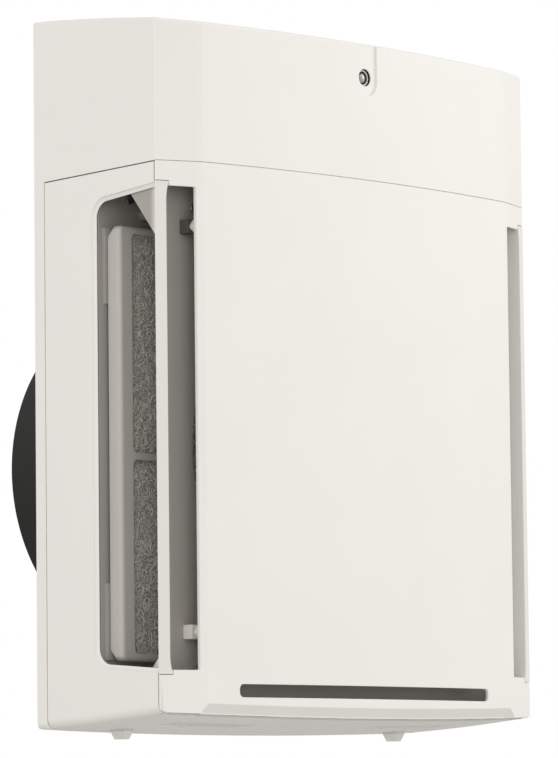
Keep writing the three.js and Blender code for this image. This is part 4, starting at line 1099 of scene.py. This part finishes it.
# ---------------------------------------------------------------- steel and cast parts
# Zinc-plated screws, shaft, nut, bearings and springs, and the die-cast motor case and the sheet-metal
# case of the power supply. Fine turning marks and a mottled plating vary the gloss.
def worked_metal():
    """Shader group: plated or cast metal with turning marks in its colour, gloss and relief."""
    group = bpy.data.node_groups.new("worked_metal", "ShaderNodeTree")
    face = group.interface
    for label, kind, value in (("Base", "NodeSocketColor", (0.6, 0.6, 0.6, 1)),
                               ("Shadow", "NodeSocketColor", (0.45, 0.45, 0.45, 1)),
                               ("Roughness", "NodeSocketFloat", 0.35),
                               ("Streak", "NodeSocketVector", (1.0, 1.0, 1.0))):
        face.new_socket(label, in_out="INPUT", socket_type=kind).default_value = value
    for label, kind in (("Color", "NodeSocketColor"), ("Roughness", "NodeSocketFloat"),
                        ("Height", "NodeSocketFloat")):
        face.new_socket(label, in_out="OUTPUT", socket_type=kind)
    make, link = group.nodes.new, group.links.new
    given = make("NodeGroupInput")
    out = make("NodeGroupOutput")
    where = make("ShaderNodeTexCoord")
    stretch = make("ShaderNodeVectorMath")
    stretch.operation = "MULTIPLY"
    link(where.outputs["Object"], stretch.inputs[0])
    link(given.outputs["Streak"], stretch.inputs[1])
    mark = make("ShaderNodeTexNoise")
    mark.inputs["Scale"].default_value = 300.0
    mark.inputs["Detail"].default_value = 4.0
    link(stretch.outputs["Vector"], mark.inputs["Vector"])
    blend = make("ShaderNodeMix")
    blend.data_type = "RGBA"
    link(mark.outputs["Fac"], blend.inputs["Factor"])
    link(given.outputs["Shadow"], blend.inputs["A"])
    link(given.outputs["Base"], blend.inputs["B"])
    link(blend.outputs["Result"], out.inputs["Color"])
    gloss = make("ShaderNodeMath")
    gloss.operation = "MULTIPLY_ADD"
    link(mark.outputs["Fac"], gloss.inputs[0])
    gloss.inputs[1].default_value = 0.25
    link(given.outputs["Roughness"], gloss.inputs[2])
    link(gloss.outputs["Value"], out.inputs["Roughness"])
    link(mark.outputs["Fac"], out.inputs["Height"])
    return group


worked = worked_metal()


def metal(name, colour, roughness, streak):
    """A metal: one Principled shader fed by the shared group, at its brightest in the given colour."""
    made = bpy.data.materials.new(name)
    made.use_nodes = True
    tree = made.node_tree
    shader = tree.nodes["Principled BSDF"]
    shader.inputs["Metallic"].default_value = 1.0
    cover = tree.nodes.new("ShaderNodeGroup")
    cover.node_tree = worked
    cover.inputs["Base"].default_value = (*colour, 1)
    cover.inputs["Shadow"].default_value = (*(v * 0.75 for v in colour), 1)
    cover.inputs["Roughness"].default_value = roughness - 0.1
    cover.inputs["Streak"].default_value = streak
    bump = tree.nodes.new("ShaderNodeBump")
    bump.inputs["Strength"].default_value = 0.2
    bump.inputs["Distance"].default_value = 0.00005
    tree.links.new(cover.outputs["Height"], bump.inputs["Height"])
    tree.links.new(cover.outputs["Color"], shader.inputs["Base Color"])
    tree.links.new(cover.outputs["Roughness"], shader.inputs["Roughness"])
    tree.links.new(bump.outputs["Normal"], shader.inputs["Normal"])
    return made


steel = metal("zinc_plated_steel", (0.62, 0.62, 0.63), 0.32, (1.0, 6.0, 1.0))
cast = metal("motor_case", (0.50, 0.51, 0.53), 0.42, (1.0, 1.0, 1.0))
for corner in CORNERS:
    softened(f"seat_screw_{corner}", steel, 0.25)
    softened(f"guide_screw_{corner}", steel, 0.25)
for number in range(1, 5):
    softened(f"bracket_screw_{number}", steel, 0.25)
for node in ("motor_shaft", "impeller_nut", "motor_bearing_rear", "motor_bearing_front"):
    softened(node, steel, 0.25)
for node in ("catch_spring_left", "catch_spring_right"):
    softened(node, steel, 0.02)
for node in ("fan_motor", "power_supply"):
    softened(node, cast, 0.6)


# ---------------------------------------------------------------- circuit boards
# Glass-fibre boards with green solder mask over copper tracks: the control board in the head and the
# small board behind the lens.
def board_paint():
    made = bpy.data.materials.new("solder_mask")
    made.use_nodes = True
    tree = made.node_tree
    shader = tree.nodes["Principled BSDF"]
    shader.inputs["Roughness"].default_value = 0.35
    where = tree.nodes.new("ShaderNodeTexCoord")
    tracks = tree.nodes.new("ShaderNodeTexBrick")
    tracks.inputs["Scale"].default_value = 160.0
    tracks.inputs["Mortar Size"].default_value = 0.03
    tracks.inputs["Color1"].default_value = (0.016, 0.10, 0.045, 1)
    tracks.inputs["Color2"].default_value = (0.020, 0.13, 0.055, 1)
    tracks.inputs["Mortar"].default_value = (0.05, 0.22, 0.09, 1)
    tree.links.new(where.outputs["Object"], tracks.inputs["Vector"])
    tree.links.new(tracks.outputs["Color"], shader.inputs["Base Color"])
    bump = tree.nodes.new("ShaderNodeBump")
    bump.inputs["Strength"].default_value = 0.3
    bump.inputs["Distance"].default_value = 0.00004
    tree.links.new(tracks.outputs["Fac"], bump.inputs["Height"])
    tree.links.new(bump.outputs["Normal"], shader.inputs["Normal"])
    return made


solder_mask = board_paint()
for node in ("control_board", "sensor_board"):
    softened(node, solder_mask, 0.1)


# ---------------------------------------------------------------- lens
# Small domed lens of smoked acrylic, pressed into the dark ring in front of the sensor board.
def lens_glass():
    made = bpy.data.materials.new("lens_glass")
    made.use_nodes = True
    tree = made.node_tree
    shader = tree.nodes["Principled BSDF"]
    shader.inputs["Roughness"].default_value = 0.08
    shader.inputs["IOR"].default_value = 1.49
    shader.inputs["Coat Weight"].default_value = 0.6
    where = tree.nodes.new("ShaderNodeTexCoord")
    haze = tree.nodes.new("ShaderNodeTexNoise")
    haze.inputs["Scale"].default_value = 400.0
    tree.links.new(where.outputs["Object"], haze.inputs["Vector"])
    tone = tree.nodes.new("ShaderNodeValToRGB")
    tone.color_ramp.elements[0].color = (0.30, 0.30, 0.31, 1)
    tone.color_ramp.elements[1].color = (0.46, 0.46, 0.47, 1)
    tree.links.new(haze.outputs["Fac"], tone.inputs["Fac"])
    tree.links.new(tone.outputs["Color"], shader.inputs["Base Color"])
    return made


softened("sensor_lens", lens_glass(), 0.15)
softened("sensor_collar", white_plastic, 0.2)
